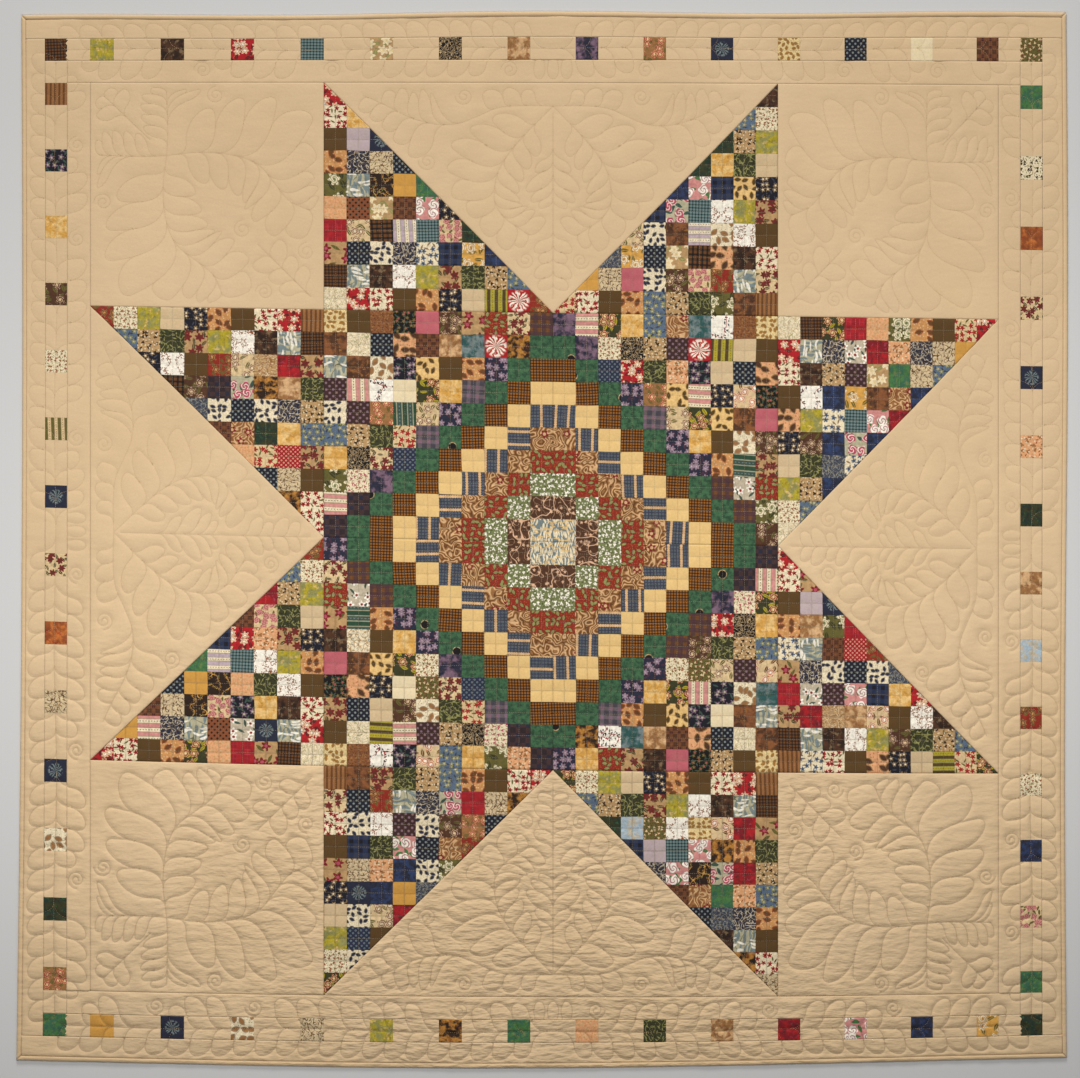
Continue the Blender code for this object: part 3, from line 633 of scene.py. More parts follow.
# The scraps of each quarter, in rows from the upright point's tip to the middle line, each row from
# the square next to the upright middle line or ring 8 outwards. The end of a row at a point's
# slanting edge is a half square.
scraps = {
    "topLeft": (
        "redFloral",
        "goldMottle roseCream",
        "navyStar lilacPlain olivePlain",
        "navyDots tanScroll navyScroll orangeSprig",
        "greenMottle goldPlain brownSprig blueLeaf bigLeaf",
        "navyFloral pinkRose maroonPlaid tanBloom leopard peachDot",
        "darkGreen creamPink tealCheck lilacStripe brownPlaid rustBloom redPlain",
        "navyPlain goldGreen navySquare whiteBlue navyScroll navyLeaf navyDots garnetTan",
        "blueDots tanDitsy greenScroll tanPosy limeMottle whiteArc darkBrown blueLeaf tattersall",
        "redBrown redFan limeStripe beigePlain navyFloral"
        " orangeSprig olivePlain roseCream redFloral creamScroll",
        "violetBatik posy redLeaf garnetTan burgundyBloom"
        " dustyPink blackFloral brownDitsy olivePlain goldPrint"
        " diagonal redFloral roseCream olivePlain orangeSprig"
        " navyFloral beigePlain limeMottle creamDitsy redBrown",
        "rustMottle redFan tealPlain copperTan maroonPlaid peachLeaf navyDots creamScroll brownMottle"
        " tattersall blueLeaf darkBrown whiteArc limeMottle tanPosy greenScroll tanDitsy blueDots",
        "violet orangeSprig olivePlain goldLeaf darkViolet whiteLeaf brownMottle blueLeaf"
        " tanPosy darkRed swirl rustBloom redBrown olivePlain whiteArc navyFloral",
        "purplePlaid goldMottle garden butterPlain whiteLine pinkStripe plumRings"
        " greenScroll copperTan rustMottle aquaPink navyPlaid burgundyBloom brownPlaid",
        "violet rustBloom greenStripe creamRed plumRings navyLeaf"
        " tanDitsy navyScroll navyLeaf navyDots navyLeaf greySwirl",
        "purplePlaid berry greenScroll tanDitsy blueDots"
        " blueDots goldMottle darkGreen brownPaisley maroonPlaid",
        "navyDot posy blackScroll goldTan tanPosy redDots berry peachDot",
        "navyViolet pinkDitsy bigLeaf olivePlain tanScroll navyDots",
        "navyPlaid pinkStripe roseCream rustMottle",
        "navyPlaid roseCream",
    ),
    "topRight": (
        "darkBrown",
        "blueDots creamDitsy",
        "darkGreen tanDitsy limeMottle",
        "darkGreen goldMottle greenScroll beigePlain",
        "navyPlain pinkRose navySquare goldLeaf navyFloral",
        "navySquare aquaPink tealCheck whiteArc limeMottle tanPosy",
        "rustBloom navyLeaf brownMottle lilacStripe whiteLeaf whiteArc olivePlain",
        "greySwirl goldGreen navyDots tanBloom brownPlaid peachLeaf darkBrown roseCream",
        "goldPlain tanScroll dustyPink navyLeaf burgundyBloom creamPink redBrown blueLeaf posy",
        "berry roseCream olivePlain orangeSprig blueDots tanDitsy greenScroll bigLeaf brownMottle diagonal",
        "navyViolet pinkStripe garden goldTan blueDots"
        " brownPaisley tealPlain whiteLine brownDitsy goldPrint"
        " creamScroll tattersall garden redPlain peachDot bigLeaf orangeSprig olivePlain berry redFloral",
        "navyViolet creamDitsy blackScroll tanDitsy plumRings redFan limeStripe beigePlain olivePlain"
        " redFloral blueLeaf navyScroll greyGreen darkRed peachSprig navyScroll tanScroll goldPlain",
        "navyDot redFloral greenScroll peachSprig darkViolet beigePlain navyDots peachLeaf"
        " roseCream darkBrown tanDitsy plumRings tanBloom greenMottle tanScroll blueDots",
        "violet creamRed goldLeaf pinkStripe navyFloral orangeBloom blackFloral"
        " olivePlain whiteLine navyPlain goldGreen brownMottle brownPaisley navyPlain",
        "purplePlaid rustBloom garden goldLeaf brownMottle dustyPink"
        " peachLeaf limeMottle whiteBlue tealCheck pinkRose darkRed",
        "violet goldMottle olivePlain whiteLeaf burgundyBloom"
        " navyFloral burgundyBloom navyPlain aquaPink navyPlain",
        "violet orangeSprig greenStripe tanPosy beigePlain greenScroll greySwirl whiteBlue",
        "violetBatik greyGreen redLeaf limeMottle tanDitsy navyPlain",
        "violetBatik bigLeaf creamDitsy blueDots",
        "burgundyBloom creamScroll",
    ),
    "bottomLeft": (
        "garden",
        "navyLeaf creamDitsy",
        "olivePlain navyDot limeMottle",
        "darkRed rustBloom navyLeaf beigePlain",
        "greySwirl goldPlain navyPlain navyStar navyFloral",
        "bigLeaf navyLeaf navyPlain peachSprig tanScroll garnetTan",
        "redBrown brownPaisley navyDots pinkRose greenScroll navySquare olivePlain",
        "navyDots creamRed burgundyBloom navyLeaf plumRings whiteArc navyLeaf roseCream",
        "rustMottle tanScroll redPlain aquaPink navyScroll blueLeaf redBrown navyDots posy",
        "redFloral roseCream olivePlain orangeSprig blueDots"
        " tanDitsy greenScroll tanPosy brownMottle diagonal",
        "navyPlaid peachSprig bigLeaf goldTan blueDots"
        " orangeBloom darkViolet whiteLine brownDitsy goldPrint"
        " creamScroll tattersall garnetTan redPlain peachDot"
        " garden orangeSprig olivePlain roseCream redFloral",
        "navyPlaid pinkDitsy blackScroll tanDitsy plumRings pinkStripe limeStripe creamScroll olivePlain"
        " redFloral blueLeaf navyStar greyGreen leopard blueLeaf navyScroll pinkStripe goldPlain",
        "purplePlaid berry greenScroll whiteLeaf burgundyBloom beigePlain navyDots tanPosy"
        " roseCream darkBrown goldMottle darkViolet creamPink brownSprig tanScroll maroonPlaid",
        "navyDot posy sageDitsy butterPlain navyFloral peachLeaf blackFloral"
        " olivePlain whiteArc greenScroll peachDot brownSprig goldPlain navyDots",
        "navyViolet creamDitsy garden goldLeaf brownMottle dustyPink"
        " orangeSprig limeMottle whiteArc tealCheck lilacStripe greenMottle",
        "violet goldMottle olivePlain whiteGrey darkBrown"
        " navyFloral tanPosy peachSprig redFloral navySquare",
        "violet orangeSprig greenStripe garnetTan beigePlain greenScroll creamPink maroonPlaid",
        "violetBatik greyGreen redLeaf limeMottle tanDitsy darkRed",
        "violetBatik posy creamDitsy blueDots",
        "violet redBrown",
    ),
    "bottomRight": (
        "tanScroll",
        "rustMottle roseCream",
        "darkBrown blueLeaf olivePlain",
        "navyDots greySwirl navyScroll orangeSprig",
        "maroonPlaid brownPaisley greenMottle peachSprig blueDots",
        "navyScroll pinkRose brownSprig aquaPink darkRed tanDitsy",
        "navySquare lilacPlain tealCheck pinkRose rustMottle orangeSprig greenScroll",
        "darkGreen skyPlain sageDitsy whiteArc goldPrint orangeBloom darkRed garnetTan",
        "blueDots tanDitsy greenScroll tanPosy limeMottle whiteArc darkBrown blueLeaf tattersall",
        "garden creamDitsy limeMottle beigePlain navyFloral"
        " orangeSprig olivePlain roseCream redFloral diagonal",
        "violet goldTan redLeaf tanPosy darkBrown dustyPink blackFloral tanDitsy olivePlain goldPrint"
        " diagonal whiteBlue roseCream olivePlain peachLeaf navyFloral beigePlain limeStripe berry garden",
        "rustMottle whiteLine tealPlain copperTan maroonPlaid peachLeaf navyDots creamScroll brownMottle"
        " tattersall blueLeaf darkBrown whiteArc limeMottle burgundyBloom greenScroll tanDitsy blueDots",
        "purplePlaid orangeSprig olivePlain goldLeaf darkViolet butterPlain brownMottle blueLeaf"
        " tanPosy darkRed swirl copperTan orangeBloom olivePlain whiteArc darkBrown",
        "violet goldMottle garden pinkStripe darkViolet whiteLeaf tealPlain"
        " redPlain greyGreen plumRings pinkRose navySquare goldMottle redFloral",
        "violet creamDitsy sageDitsy rustBloom plumRings orangeBloom"
        " garnetTan navyScroll navyLeaf navyDots navyLeaf greySwirl",
        "violetBatik burgundyBloom greenScroll tanDitsy blueDots"
        " whiteBlue blueLeaf maroonPlaid redDots redBrown",
        "violetBatik redFloral blackScroll goldTan orangeSprig copperTan bigLeaf redPlain",
        "navyViolet pinkDitsy garden olivePlain lilacPlain navyStar",
        "navyPlaid pinkStripe roseCream garnetTan",
        "navyPlaid redFloral",
    ),
}
scraps = {quarter: [row.split() for row in rows] for quarter, rows in scraps.items()}

# Single squares of the second border, one every third place, in the order of the panel's turn
borderSquares = {
    "top": "tattersall limeMottle darkBrown redFloral tealCheck tanBloom blackScroll copperTan"
    " navyViolet creamRed navyStar goldPrint navyDots butterPlain maroonPlaid sageDitsy",
    "left": "creamRed darkGreen whiteLeaf navyStar tanScroll rustSwirl posy"
    " navyStar brownStripe creamDitsy burgundyBloom goldMottle darkViolet diagonal",
    "bottom": "darkGreen goldGreen navyPlain pinkRose darkRed copperTan greenScroll peachDot"
    " greenMottle rustMottle limeMottle tanScroll whiteLeaf navyStar goldPlain greenMottle",
    "right": "greenMottle whiteTiny rustSwirl posy navyStar peachSprig darkGreen copperTan"
    " skyPlain redBrown creamDitsy navyPlain creamPink greenMottle",
}


# The fabric of a square of the star by its lower left corner, and the key of its patch
def fabricAt(cell):
    across = cell[0] if cell[0] >= 0 else -1 - cell[0]
    up = cell[1] if cell[1] >= 0 else -1 - cell[1]
    key = (cell[0], cell[1])
    if across + up < 9:
        if across + up in starCloth["mergedRings"] and min(across, up) == 0:
            key = mergedKey(cell, key)
        return ringFabrics[across + up], key
    quarter = ("top" if cell[1] >= 0 else "bottom") + ("Right" if cell[0] >= 0 else "Left")
    place = across - abs(up - 9.5) + 0.5
    row = scraps[quarter][19 - up] if up < 20 else []
    if 0 <= place < len(row):
        return row[int(place)], key
    return "olivePlain", key


# Both halves of a patch over the middle line share one key, so that the print runs on
def mergedKey(cell, key):
    return (-1 if cell[0] in (-1, 0) else key[0], -1 if cell[1] in (-1, 0) else key[1])


def addNode(tree, kind, inputs=None, **settings):
    made = tree.nodes.new(kind)
    for key, value in settings.items():
        setattr(made, key, value)
    for key, value in (inputs or {}).items():
        if isinstance(value, bpy.types.NodeSocket):
            tree.links.new(value, made.inputs[key])
        else:
            made.inputs[key].default_value = value
    return made


# The node tree behind some values, at least one of which is a socket
def treeBehind(values):
    return next(value.id_data for value in values if isinstance(value, bpy.types.NodeSocket))


def calc(operation, *values):
    inputs = dict(enumerate(values))
    return addNode(treeBehind(values), "ShaderNodeMath", inputs, operation=operation).outputs[0]


def times(first, second):
    return calc("MULTIPLY", first, second)


def plus(first, second):
    return calc("ADD", first, second)


def less(first, second):
    return calc("SUBTRACT", first, second)


def larger(first, second):
    return calc("MAXIMUM", first, second)


def absolute(value):
    return calc("ABSOLUTE", value)


# A value times a factor, plus a start
def scaled(value, factor, start):
    return calc("MULTIPLY_ADD", value, factor, start)


def reachOf(x, y):
    return calc("SQRT", plus(times(x, x), times(y, y)))


# A soft step, from 0 at start to 1 at end
def fade(value, start, end):
    inputs = {"Value": value, "From Min": start, "From Max": end}
    return addNode(value.id_data, "ShaderNodeMapRange", inputs, interpolation_type="SMOOTHSTEP").outputs[0]


def mixDye(share, first, second, way="MIX"):
    inputs = {0: share, 6: first, 7: second}
    tree = treeBehind(inputs.values())
    return addNode(tree, "ShaderNodeMix", inputs, data_type="RGBA", blend_type=way).outputs[2]


def moved(at, shift=(0, 0, 0), scale=(1, 1, 1), turn=0.0):
    inputs = {"Vector": at, "Location": shift, "Rotation": (0, 0, turn), "Scale": scale}
    return addNode(at.id_data, "ShaderNodeMapping", inputs).outputs[0]


def noise(at, scale, detail=3.0, rough=0.5):
    inputs = {"Vector": at, "Scale": scale, "Detail": detail, "Roughness": rough}
    return addNode(at.id_data, "ShaderNodeTexNoise", inputs, noise_dimensions="3D").outputs[0]


def vectorCalc(operation, first, second):
    inputs = {0: first, "Scale" if operation == "SCALE" else 1: second}
    return addNode(first.id_data, "ShaderNodeVectorMath", inputs, operation=operation).outputs[0]


def split(at):
    return addNode(at.id_data, "ShaderNodeSeparateXYZ", {0: at}).outputs[:2]


# Bends a pattern's place softly, so that no motif repeats exactly
def bent(at, amount, scale=1.5):
    inputs = {"Vector": at, "Scale": scale, "Detail": 1.0}
    cloud = addNode(at.id_data, "ShaderNodeTexNoise", inputs, noise_dimensions="3D").outputs["Color"]
    centred = vectorCalc("SUBTRACT", cloud, (0.5, 0.5, 0.5))
    return vectorCalc("ADD", at, vectorCalc("SCALE", centred, amount))


# Distance and angle from the nearest of many scattered spots, and a chance value of that spot
def scattered(at, loose=0.85):
    inputs = {"Vector": at, "Scale": 1.0, "Randomness": loose}
    cells = addNode(at.id_data, "ShaderNodeTexVoronoi", inputs, voronoi_dimensions="2D", feature="F1")
    x, y = split(vectorCalc("SUBTRACT", at, cells.outputs["Position"]))
    chance = addNode(at.id_data, "ShaderNodeSeparateColor", {0: cells.outputs["Color"]}).outputs[0]
    angle = scaled(chance, 6.283, calc("ARCTAN2", y, x))
    return {"reach": reachOf(x, y), "angle": angle, "chance": chance}


# Other spots, so many times closer together
def moreSpots(at, x, y, closer, loose=0.85):
    return scattered(moved(at, (x, y, 0), (closer, closer, 1)), loose)


# A flower of some petals around each spot
def petals(spot, radius, count, depth, soft=0.05):
    wave = calc("COSINE", times(spot["angle"], float(count)))
    edge = scaled(wave, radius * depth, radius * (1 - depth))
    return fade(less(edge, spot["reach"]), 0.0, soft)


# A pointed leaf through each spot, and its midrib
def leaf(spot, length, width, soft=0.04):
    x = times(spot["reach"], calc("COSINE", spot["angle"]))
    side = absolute(times(spot["reach"], calc("SINE", spot["angle"])))
    along = calc("DIVIDE", x, length)
    taper = scaled(times(along, along), -width, width)
    shape = fade(less(taper, side), 0.0, soft)
    return shape, times(fade(side, 0.035, 0.01), shape)


# Lines that wind along a noise's contour
def winding(at, scale, width, level=0.5, detail=0.0):
    return fade(absolute(less(noise(at, scale, detail), level)), width, width * 0.45)


# Distance from the nearest of evenly spaced lines, 0 on a line and 0.5 between
def fromLine(value, repeat=1.0, shift=0.0):
    return absolute(less(calc("FRACT", scaled(value, repeat, shift + 0.5)), 0.5))


# Each print gives the shares of its motif, accent and leaf dyes
def plainPrint(at):
    return times(noise(at, 0.9, 4.0), 0.5), 0.0, 0.0


def mottledPrint(at):
    at = bent(at, 0.5)
    first = fade(noise(at, 1.1, 4.0, 0.6), 0.42, 0.60)
    second = fade(noise(moved(at, (7, 3, 0)), 1.7, 4.0, 0.6), 0.54, 0.66)
    third = fade(noise(moved(at, (2, 9, 0)), 3.2, 2.0), 0.58, 0.66)
    return first, times(second, 0.7), times(third, 0.5)


def checkPrint(at):
    x, y = split(at)
    across, down = (fade(fromLine(value), 0.24, 0.16) for value in (x, y))
    return times(larger(across, down), 0.85), times(across, down), fade(fromLine(x, 0.5), 0.06, 0.03)


def plaidPrint(at):
    x, y = split(bent(at, 0.02, 3.0))
    across, down = (fade(fromLine(value), 0.30, 0.26) for value in (x, y))
    thin = larger(fade(fromLine(x, 4.0), 0.10, 0.05), fade(fromLine(y, 3.0), 0.09, 0.05))
    return times(larger(across, down), 0.5), times(times(across, down), 0.6), times(thin, 0.45)


def stripePrint(at):
    x, y = split(bent(at, 0.03, 2.0))
    band = fade(fromLine(x), 0.24, 0.20)
    line = fade(fromLine(x, 2.0, 0.5), 0.12, 0.08)
    dots = times(fade(fromLine(y, 3.0), 0.26, 0.18), fade(fromLine(x, 1.0, 0.5), 0.05, 0.03))
    return band, times(line, 0.7), dots


def ditsyPrint(at):
    flower = petals(scattered(at), 0.34, 3, 0.24)
    bud = petals(moreSpots(at, 3.3, 8.1, 1.5), 0.27, 4, 0.2)
    green = leaf(moreSpots(at, 9.2, 1.4, 1.2), 0.34, 0.11)[0]
    return flower, times(bud, 0.8), green


def dotsPrint(at):
    x, y = split(at)
    rows = []
    for shift in (0.0, 0.5):
        squared = [calc("POWER", fromLine(value, 1.0, shift), 2.0) for value in (x, y)]
        rows.append(plus(*squared))
    near = calc("MINIMUM", *rows)
    return fade(near, 0.040, 0.028), fade(near, 0.010, 0.005), times(noise(at, 1.0), 0.4)


def floralPrint(at):
    at = bent(at, 0.15)
    spot = scattered(at, 0.75)
    flower = petals(spot, 0.42, 5, 0.24)
    heart = times(fade(spot["reach"], 0.16, 0.10), flower)
    green = leaf(moreSpots(at, 5.1, 2.7, 1.1), 0.46, 0.15)[0]
    return flower, heart, times(green, less(1.0, flower))


def bigBloomPrint(at):
    at = bent(at, 0.22)
    spot = scattered(at, 0.8)
    flower = petals(spot, 0.46, 6, 0.20, 0.03)
    ring = absolute(calc("SINE", scaled(spot["reach"], 22.0, spot["angle"])))
    shade = times(times(fade(ring, 0.62, 0.95), 0.75), flower)
    heart = times(fade(spot["reach"], 0.12, 0.08), flower)
    green, rib = leaf(moreSpots(at, 1.7, 6.3, 1.3), 0.50, 0.20)
    return flower, larger(shade, heart), less(times(green, less(1.0, flower)), rib)


def leafyPrint(at):
    spot = scattered(at, 0.7)
    shape, rib = leaf(spot, 0.44, 0.24)
    specks = petals(moreSpots(at, 4.4, 9.1, 2.6), 0.22, 3, 0.2)
    outline = leaf(spot, 0.54, 0.33)[0]
    dark = times(less(outline, shape), 0.75)
    return shape, times(specks, less(0.6, shape)), larger(rib, dark)


def longLeafPrint(at):
    flow = bent(at, 1.3, 0.5)
    first = scattered(moved(flow, (0, 0, 0), (0.85, 3.4, 1), 0.5))
    second = scattered(moved(flow, (4, 7, 0), (3.2, 0.9, 1), 0.4))
    light = fade(first["reach"], 0.46, 0.34)
    dark = times(fade(second["reach"], 0.44, 0.32), fade(second["chance"], 0.40, 0.5))
    return light, times(dark, 0.85), times(winding(flow, 1.0, 0.018), 0.8)


def branchPrint(at):
    flow = bent(at, 0.5, 1.0)
    bough = winding(flow, 0.9, 0.019)
    twig = winding(moved(flow, (5, 2, 0)), 1.7, 0.011)
    flower = petals(moreSpots(at, 1, 4, 2.6), 0.34, 5, 0.25)
    few = fade(noise(at, 1.3), 0.49, 0.54)
    return larger(bough, times(twig, 0.8)), times(flower, few), 0.0


def paisleyPrint(at):
    rings = noise(bent(at, 0.9, 0.8), 0.9, 1.0)
    line = fade(fromLine(rings, 9.0), 0.19, 0.12)
    other = fade(fromLine(rings, 9.0, 0.5), 0.16, 0.09)
    spot = moreSpots(at, 2, 5, 0.9)
    some = fade(spot["chance"], 0.66, 0.70)
    bloom = times(petals(spot, 0.36, 5, 0.2), some)
    heart = times(fade(spot["reach"], 0.15, 0.10), some)
    clear = less(1.0, bloom)
    return larger(times(line, clear), heart), times(other, clear), bloom


def scrollPrint(at):
    flow = bent(at, 0.5, 1.2)
    vine = winding(flow, 1.5, 0.038)
    curl = winding(moved(flow, (6, 1, 0)), 2.3, 0.028, 0.46)
    green, rib = leaf(moreSpots(at, 8, 3, 1.7), 0.40, 0.13)
    return larger(vine, green), times(curl, 0.9), times(rib, 0.6)


def sprigPrint(at):
    flow = bent(at, 0.6, 0.8)
    stem = winding(flow, 0.8, 0.014)
    near = fade(absolute(less(noise(flow, 0.8, 0.0), 0.5)), 0.12, 0.09)
    green = leaf(moreSpots(at, 2, 2, 2.9), 0.48, 0.18)[0]
    berry = petals(moreSpots(at, 7, 4, 2.2), 0.22, 3, 0.15)
    return times(green, near), stem, times(berry, near)


def ribbonPrint(at):
    x, y = split(at)
    scallop = times(absolute(calc("SINE", times(x, 17.0))), 0.055)
    band = fade(plus(fromLine(y), scallop), 0.445, 0.425)
    spot = moreSpots(at, 0, 0, 4.0, 0.0)
    rosette = times(petals(spot, 0.44, 6, 0.15), band)
    ring = times(fade(absolute(less(spot["reach"], 0.24)), 0.09, 0.03), rosette)
    return band, times(ring, 0.8), times(rosette, 0.35)


def ringDotPrint(at):
    cloud = fade(noise(at, 3.4, 5.0, 0.7), 0.42, 0.60)
    spot = scattered(moved(at, (0.3, 0.4, 0)), 0.8)
    some = fade(spot["chance"], 0.80, 0.82)
    disc = times(fade(spot["reach"], 0.245, 0.225), some)
    ring = times(fade(absolute(less(spot["reach"], 0.262)), 0.030, 0.016), some)
    return cloud, disc, ring


def rosyPrint(at):
    flow = bent(at, 0.3)
    spot = scattered(flow, 0.7)
    swirl = calc("SINE", scaled(spot["reach"], 24.0, times(spot["angle"], 2.0)))
    bloom = petals(spot, 0.50, 4, 0.12)
    fold = times(fade(swirl, 0.1, 0.9), bloom)
    green = leaf(moreSpots(flow, 5, 5, 1.2), 0.5, 0.2)[0]
    return bloom, times(fold, 0.8), times(green, less(1.0, bloom))


def burstPrint(at):
    x, y = split(at)
    reach = reachOf(x, y)
    within = fade(reach, 0.60, 0.45)
    wobble = scaled(noise(at, 1.6), 2.2, calc("ARCTAN2", y, x))
    rays = fade(calc("SINE", times(wobble, 12.0)), -0.1, 0.25)
    thin = fade(calc("SINE", times(wobble, 23.0)), 0.6, 0.85)
    return times(rays, within), times(times(thin, within), 0.6), fade(reach, 0.06, 0.04)


# Finish of the cotton: its threads, slubs and wear, and the painted shade along its seams and beside its
# stitches
cotton = {
    "threadsPerMetre": 1500.0,
    "threadHeight": 0.00006,
    "puckerHeight": 0.00035,
    "rough": 0.88,
    "sheen": 0.12,
    "specular": 0.25,
    # Width and depth of the painted shade along the seams, on prints and on the plain cloth
    "seamWidth": 0.014,
    "printSeamShade": 0.6,
    "groundSeamShade": 0.95,
    # Width and depth of the painted shade beside the stitches, full low down and weaker high up
    "stitchWidth": 0.036,
    "stitchShade": 0.79,  # shade beside the stitches low down, and high up
    "stitchShadeHigh": 0.965,
    "stitchRise": (-0.75, 0.25),  # from low down to high up, in metres
    "slackScale": (27.0, 70.0, 1.0),
    "slackHeight": 0.0068,
    "slackLow": (0.15, -0.80),
    "slackNear": (1.15, 0.25),
    "slackNearShares": (0.78, 0.22),
    "slackLeast": 0.10,
}


def bumped(height, distance, normal=None):
    inputs = {"Strength": 1.0, "Distance": distance, "Height": height}
    if normal is not None:
        inputs["Normal"] = normal
    return addNode(height.id_data, "ShaderNodeBump", inputs).outputs[0]


# Threads both ways and small puckers, as a bump on the cloth
def weave(where):
    fine = cotton["threadsPerMetre"]
    warp = noise(moved(where, scale=(fine, fine * 0.12, 60)), 1.0, 1.0)
    weft = noise(moved(where, (3, 1, 0), (fine * 0.12, fine, 60)), 1.0, 1.0)
    threads = plus(warp, weft)
    pucker = noise(moved(where, scale=(1, 1, 0.2)), 150.0, 2.0)
    return bumped(pucker, cotton["puckerHeight"], bumped(threads, cotton["threadHeight"])), threads


def attributeOf(tree, name, output):
    node = addNode(tree, "ShaderNodeAttribute", attribute_name=name, attribute_type="GEOMETRY")
    return node.outputs[output]


# Washing and light have left the dye a little uneven, and a thin painted shade darkens the seams and the
# cloth beside the stitches, fainter high up
def wearAndPaintedShade(colour, where, threads, seamShade):
    tree = where.id_data
    broad = scaled(noise(where, 5.0, 3.0), 0.16, 0.92)
    slub = scaled(noise(where, 260.0, 2.0), 0.10, 0.95)
    strands = scaled(threads, 0.10, 0.90)
    # Painted shade along the seams, darker on prints than on the plain cloth
    seam = fade(attributeOf(tree, "seamGap", "Fac"), 0.0, cotton["seamWidth"])
    seam = scaled(seam, 1 - seamShade, seamShade)
    # Painted shade in the stitched ditches, full low down and fainter high up
    ditch = fade(attributeOf(tree, "stitchGap", "Fac"), 0.0, cotton["stitchWidth"])
    up = fade(split(where)[1], *cotton["stitchRise"])
    least = scaled(up, cotton["stitchShadeHigh"] - cotton["stitchShade"], cotton["stitchShade"])
    value = times(times(broad, slub), times(strands, seam))
    return mixDye(1.0, colour, times(value, larger(ditch, least)), "MULTIPLY")


# Fine sideways wrinkles of the plain cloth, deep low down where it has hung slack
def slackWrinkles(where, normal):
    x, y = split(where)
    low = fade(y, *cotton["slackLow"])
    near = fade(absolute(x), *cotton["slackNear"])
    share = plus(times(low, scaled(near, *cotton["slackNearShares"])), cotton["slackLeast"])
    rows = noise(moved(bent(where, 0.03, 6.0), scale=cotton["slackScale"]), 1.0, 2.0)
    return bumped(times(rows, share), cotton["slackHeight"], normal)


# A cotton with its weave, and what its colour is worked out from
def newCotton(name):
    material = bpy.data.materials.new(name)
    material.use_nodes = True
    tree = material.node_tree
    tree.nodes.clear()
    finish = {
        "Roughness": cotton["rough"], "Metallic": 0.0, "Sheen Weight": cotton["sheen"],
        "Sheen Roughness": 0.5, "Specular IOR Level": cotton["specular"],
    }
    shader = addNode(tree, "ShaderNodeBsdfPrincipled", finish)
    addNode(tree, "ShaderNodeOutputMaterial", {"Surface": shader.outputs[0]})
    where = addNode(tree, "ShaderNodeTexCoord").outputs["Object"]
    bump, threads = weave(where)
    return material, shader, where, threads, bump


def dressShader(shader, colour, normal):
    links = shader.id_data.links
    links.new(colour, shader.inputs["Base Color"])
    links.new(normal, shader.inputs["Normal"])


def printedCotton(name, paint, unevenInk):
    material, shader, where, threads, bump = newCotton(name)
    tree = material.node_tree
    at = addNode(tree, "ShaderNodeUVMap", uv_map="printMap").outputs[0]
    ground, motifDye, accentDye, leafDye = (attributeOf(tree, dye, "Color") for dye in dyeNames)
    motif, accent, green = paint(at)
    colour = mixDye(green, ground, leafDye)
    colour = mixDye(motif, colour, motifDye)
    colour = mixDye(accent, colour, accentDye)
    ink = scaled(noise(at, 3.0, 3.0, 0.7), unevenInk, 1 - 0.5 * unevenInk)
    colour = mixDye(1.0, colour, ink, "MULTIPLY")
    # Wear, and painted shade along the seams and beside the stitches
    dressShader(shader, wearAndPaintedShade(colour, where, threads, cotton["printSeamShade"]), bump)
    return material


def plainCotton(name, low, high):
    material, shader, where, threads, bump = newCotton(name)
    shades = [(*onScreenToLinear(code), 1.0) for code in (low, high)]
    colour = mixDye(noise(where, 3.0, 4.0), *shades)
    # Wear, and painted shade along the seams and beside the stitches
    dressShader(shader, wearAndPaintedShade(colour, where, threads, cotton["groundSeamShade"]), slackWrinkles(where, bump))
    return material


def quiltingThread(name, code):
    material = bpy.data.materials.new(name)
    material.use_nodes = True
    shader = material.node_tree.nodes["Principled BSDF"]
    shader.inputs["Roughness"].default_value = 0.6
    shader.inputs["Sheen Weight"].default_value = 0.2
    where = addNode(material.node_tree, "ShaderNodeTexCoord").outputs["Object"]
    twist = noise(where, 900.0, 1.0)
    colour = mixDye(1.0, (*onScreenToLinear(code), 1.0), scaled(twist, 0.3, 0.8), "MULTIPLY")
    dressShader(shader, colour, bumped(twist, 0.0001))
    return material


cottons = {}
for paint in (
    plainPrint, mottledPrint, checkPrint, plaidPrint, stripePrint, ditsyPrint, dotsPrint, floralPrint,
    bigBloomPrint, leafyPrint, longLeafPrint, branchPrint, paisleyPrint, scrollPrint, sprigPrint,
    ribbonPrint, ringDotPrint, rosyPrint, burstPrint,
):
    kind = paint.__name__.removesuffix("Print")
    unevenInk = 0.4 if kind in ("plain", "check", "dots") else 1.1
    cottons[kind] = printedCotton(kind + "Cotton", paint, unevenInk)
cottons["ground"] = plainCotton("tanCotton", "d3b489", "dcbf98")
cottons["binding"] = plainCotton("bindingCotton", "d1b186", "dabd94")
cottons["starThread"] = quiltingThread("paleThread", "a8967a")
cottons["tanThread"] = quiltingThread("tanThread", "c8a67a")
print("materials made:", len(cottons))


# Stitched lines gathered from the panels, by cloth and quarter
stitched = {"star": [[] for _ in range(4)], "tan": [[] for _ in range(4)]}


def toWorld(flat, heights):
    x, y = pulled(flat[:, 0], flat[:, 1])
    return np.stack([x - middle[0], y - middle[1], heights], axis=1)


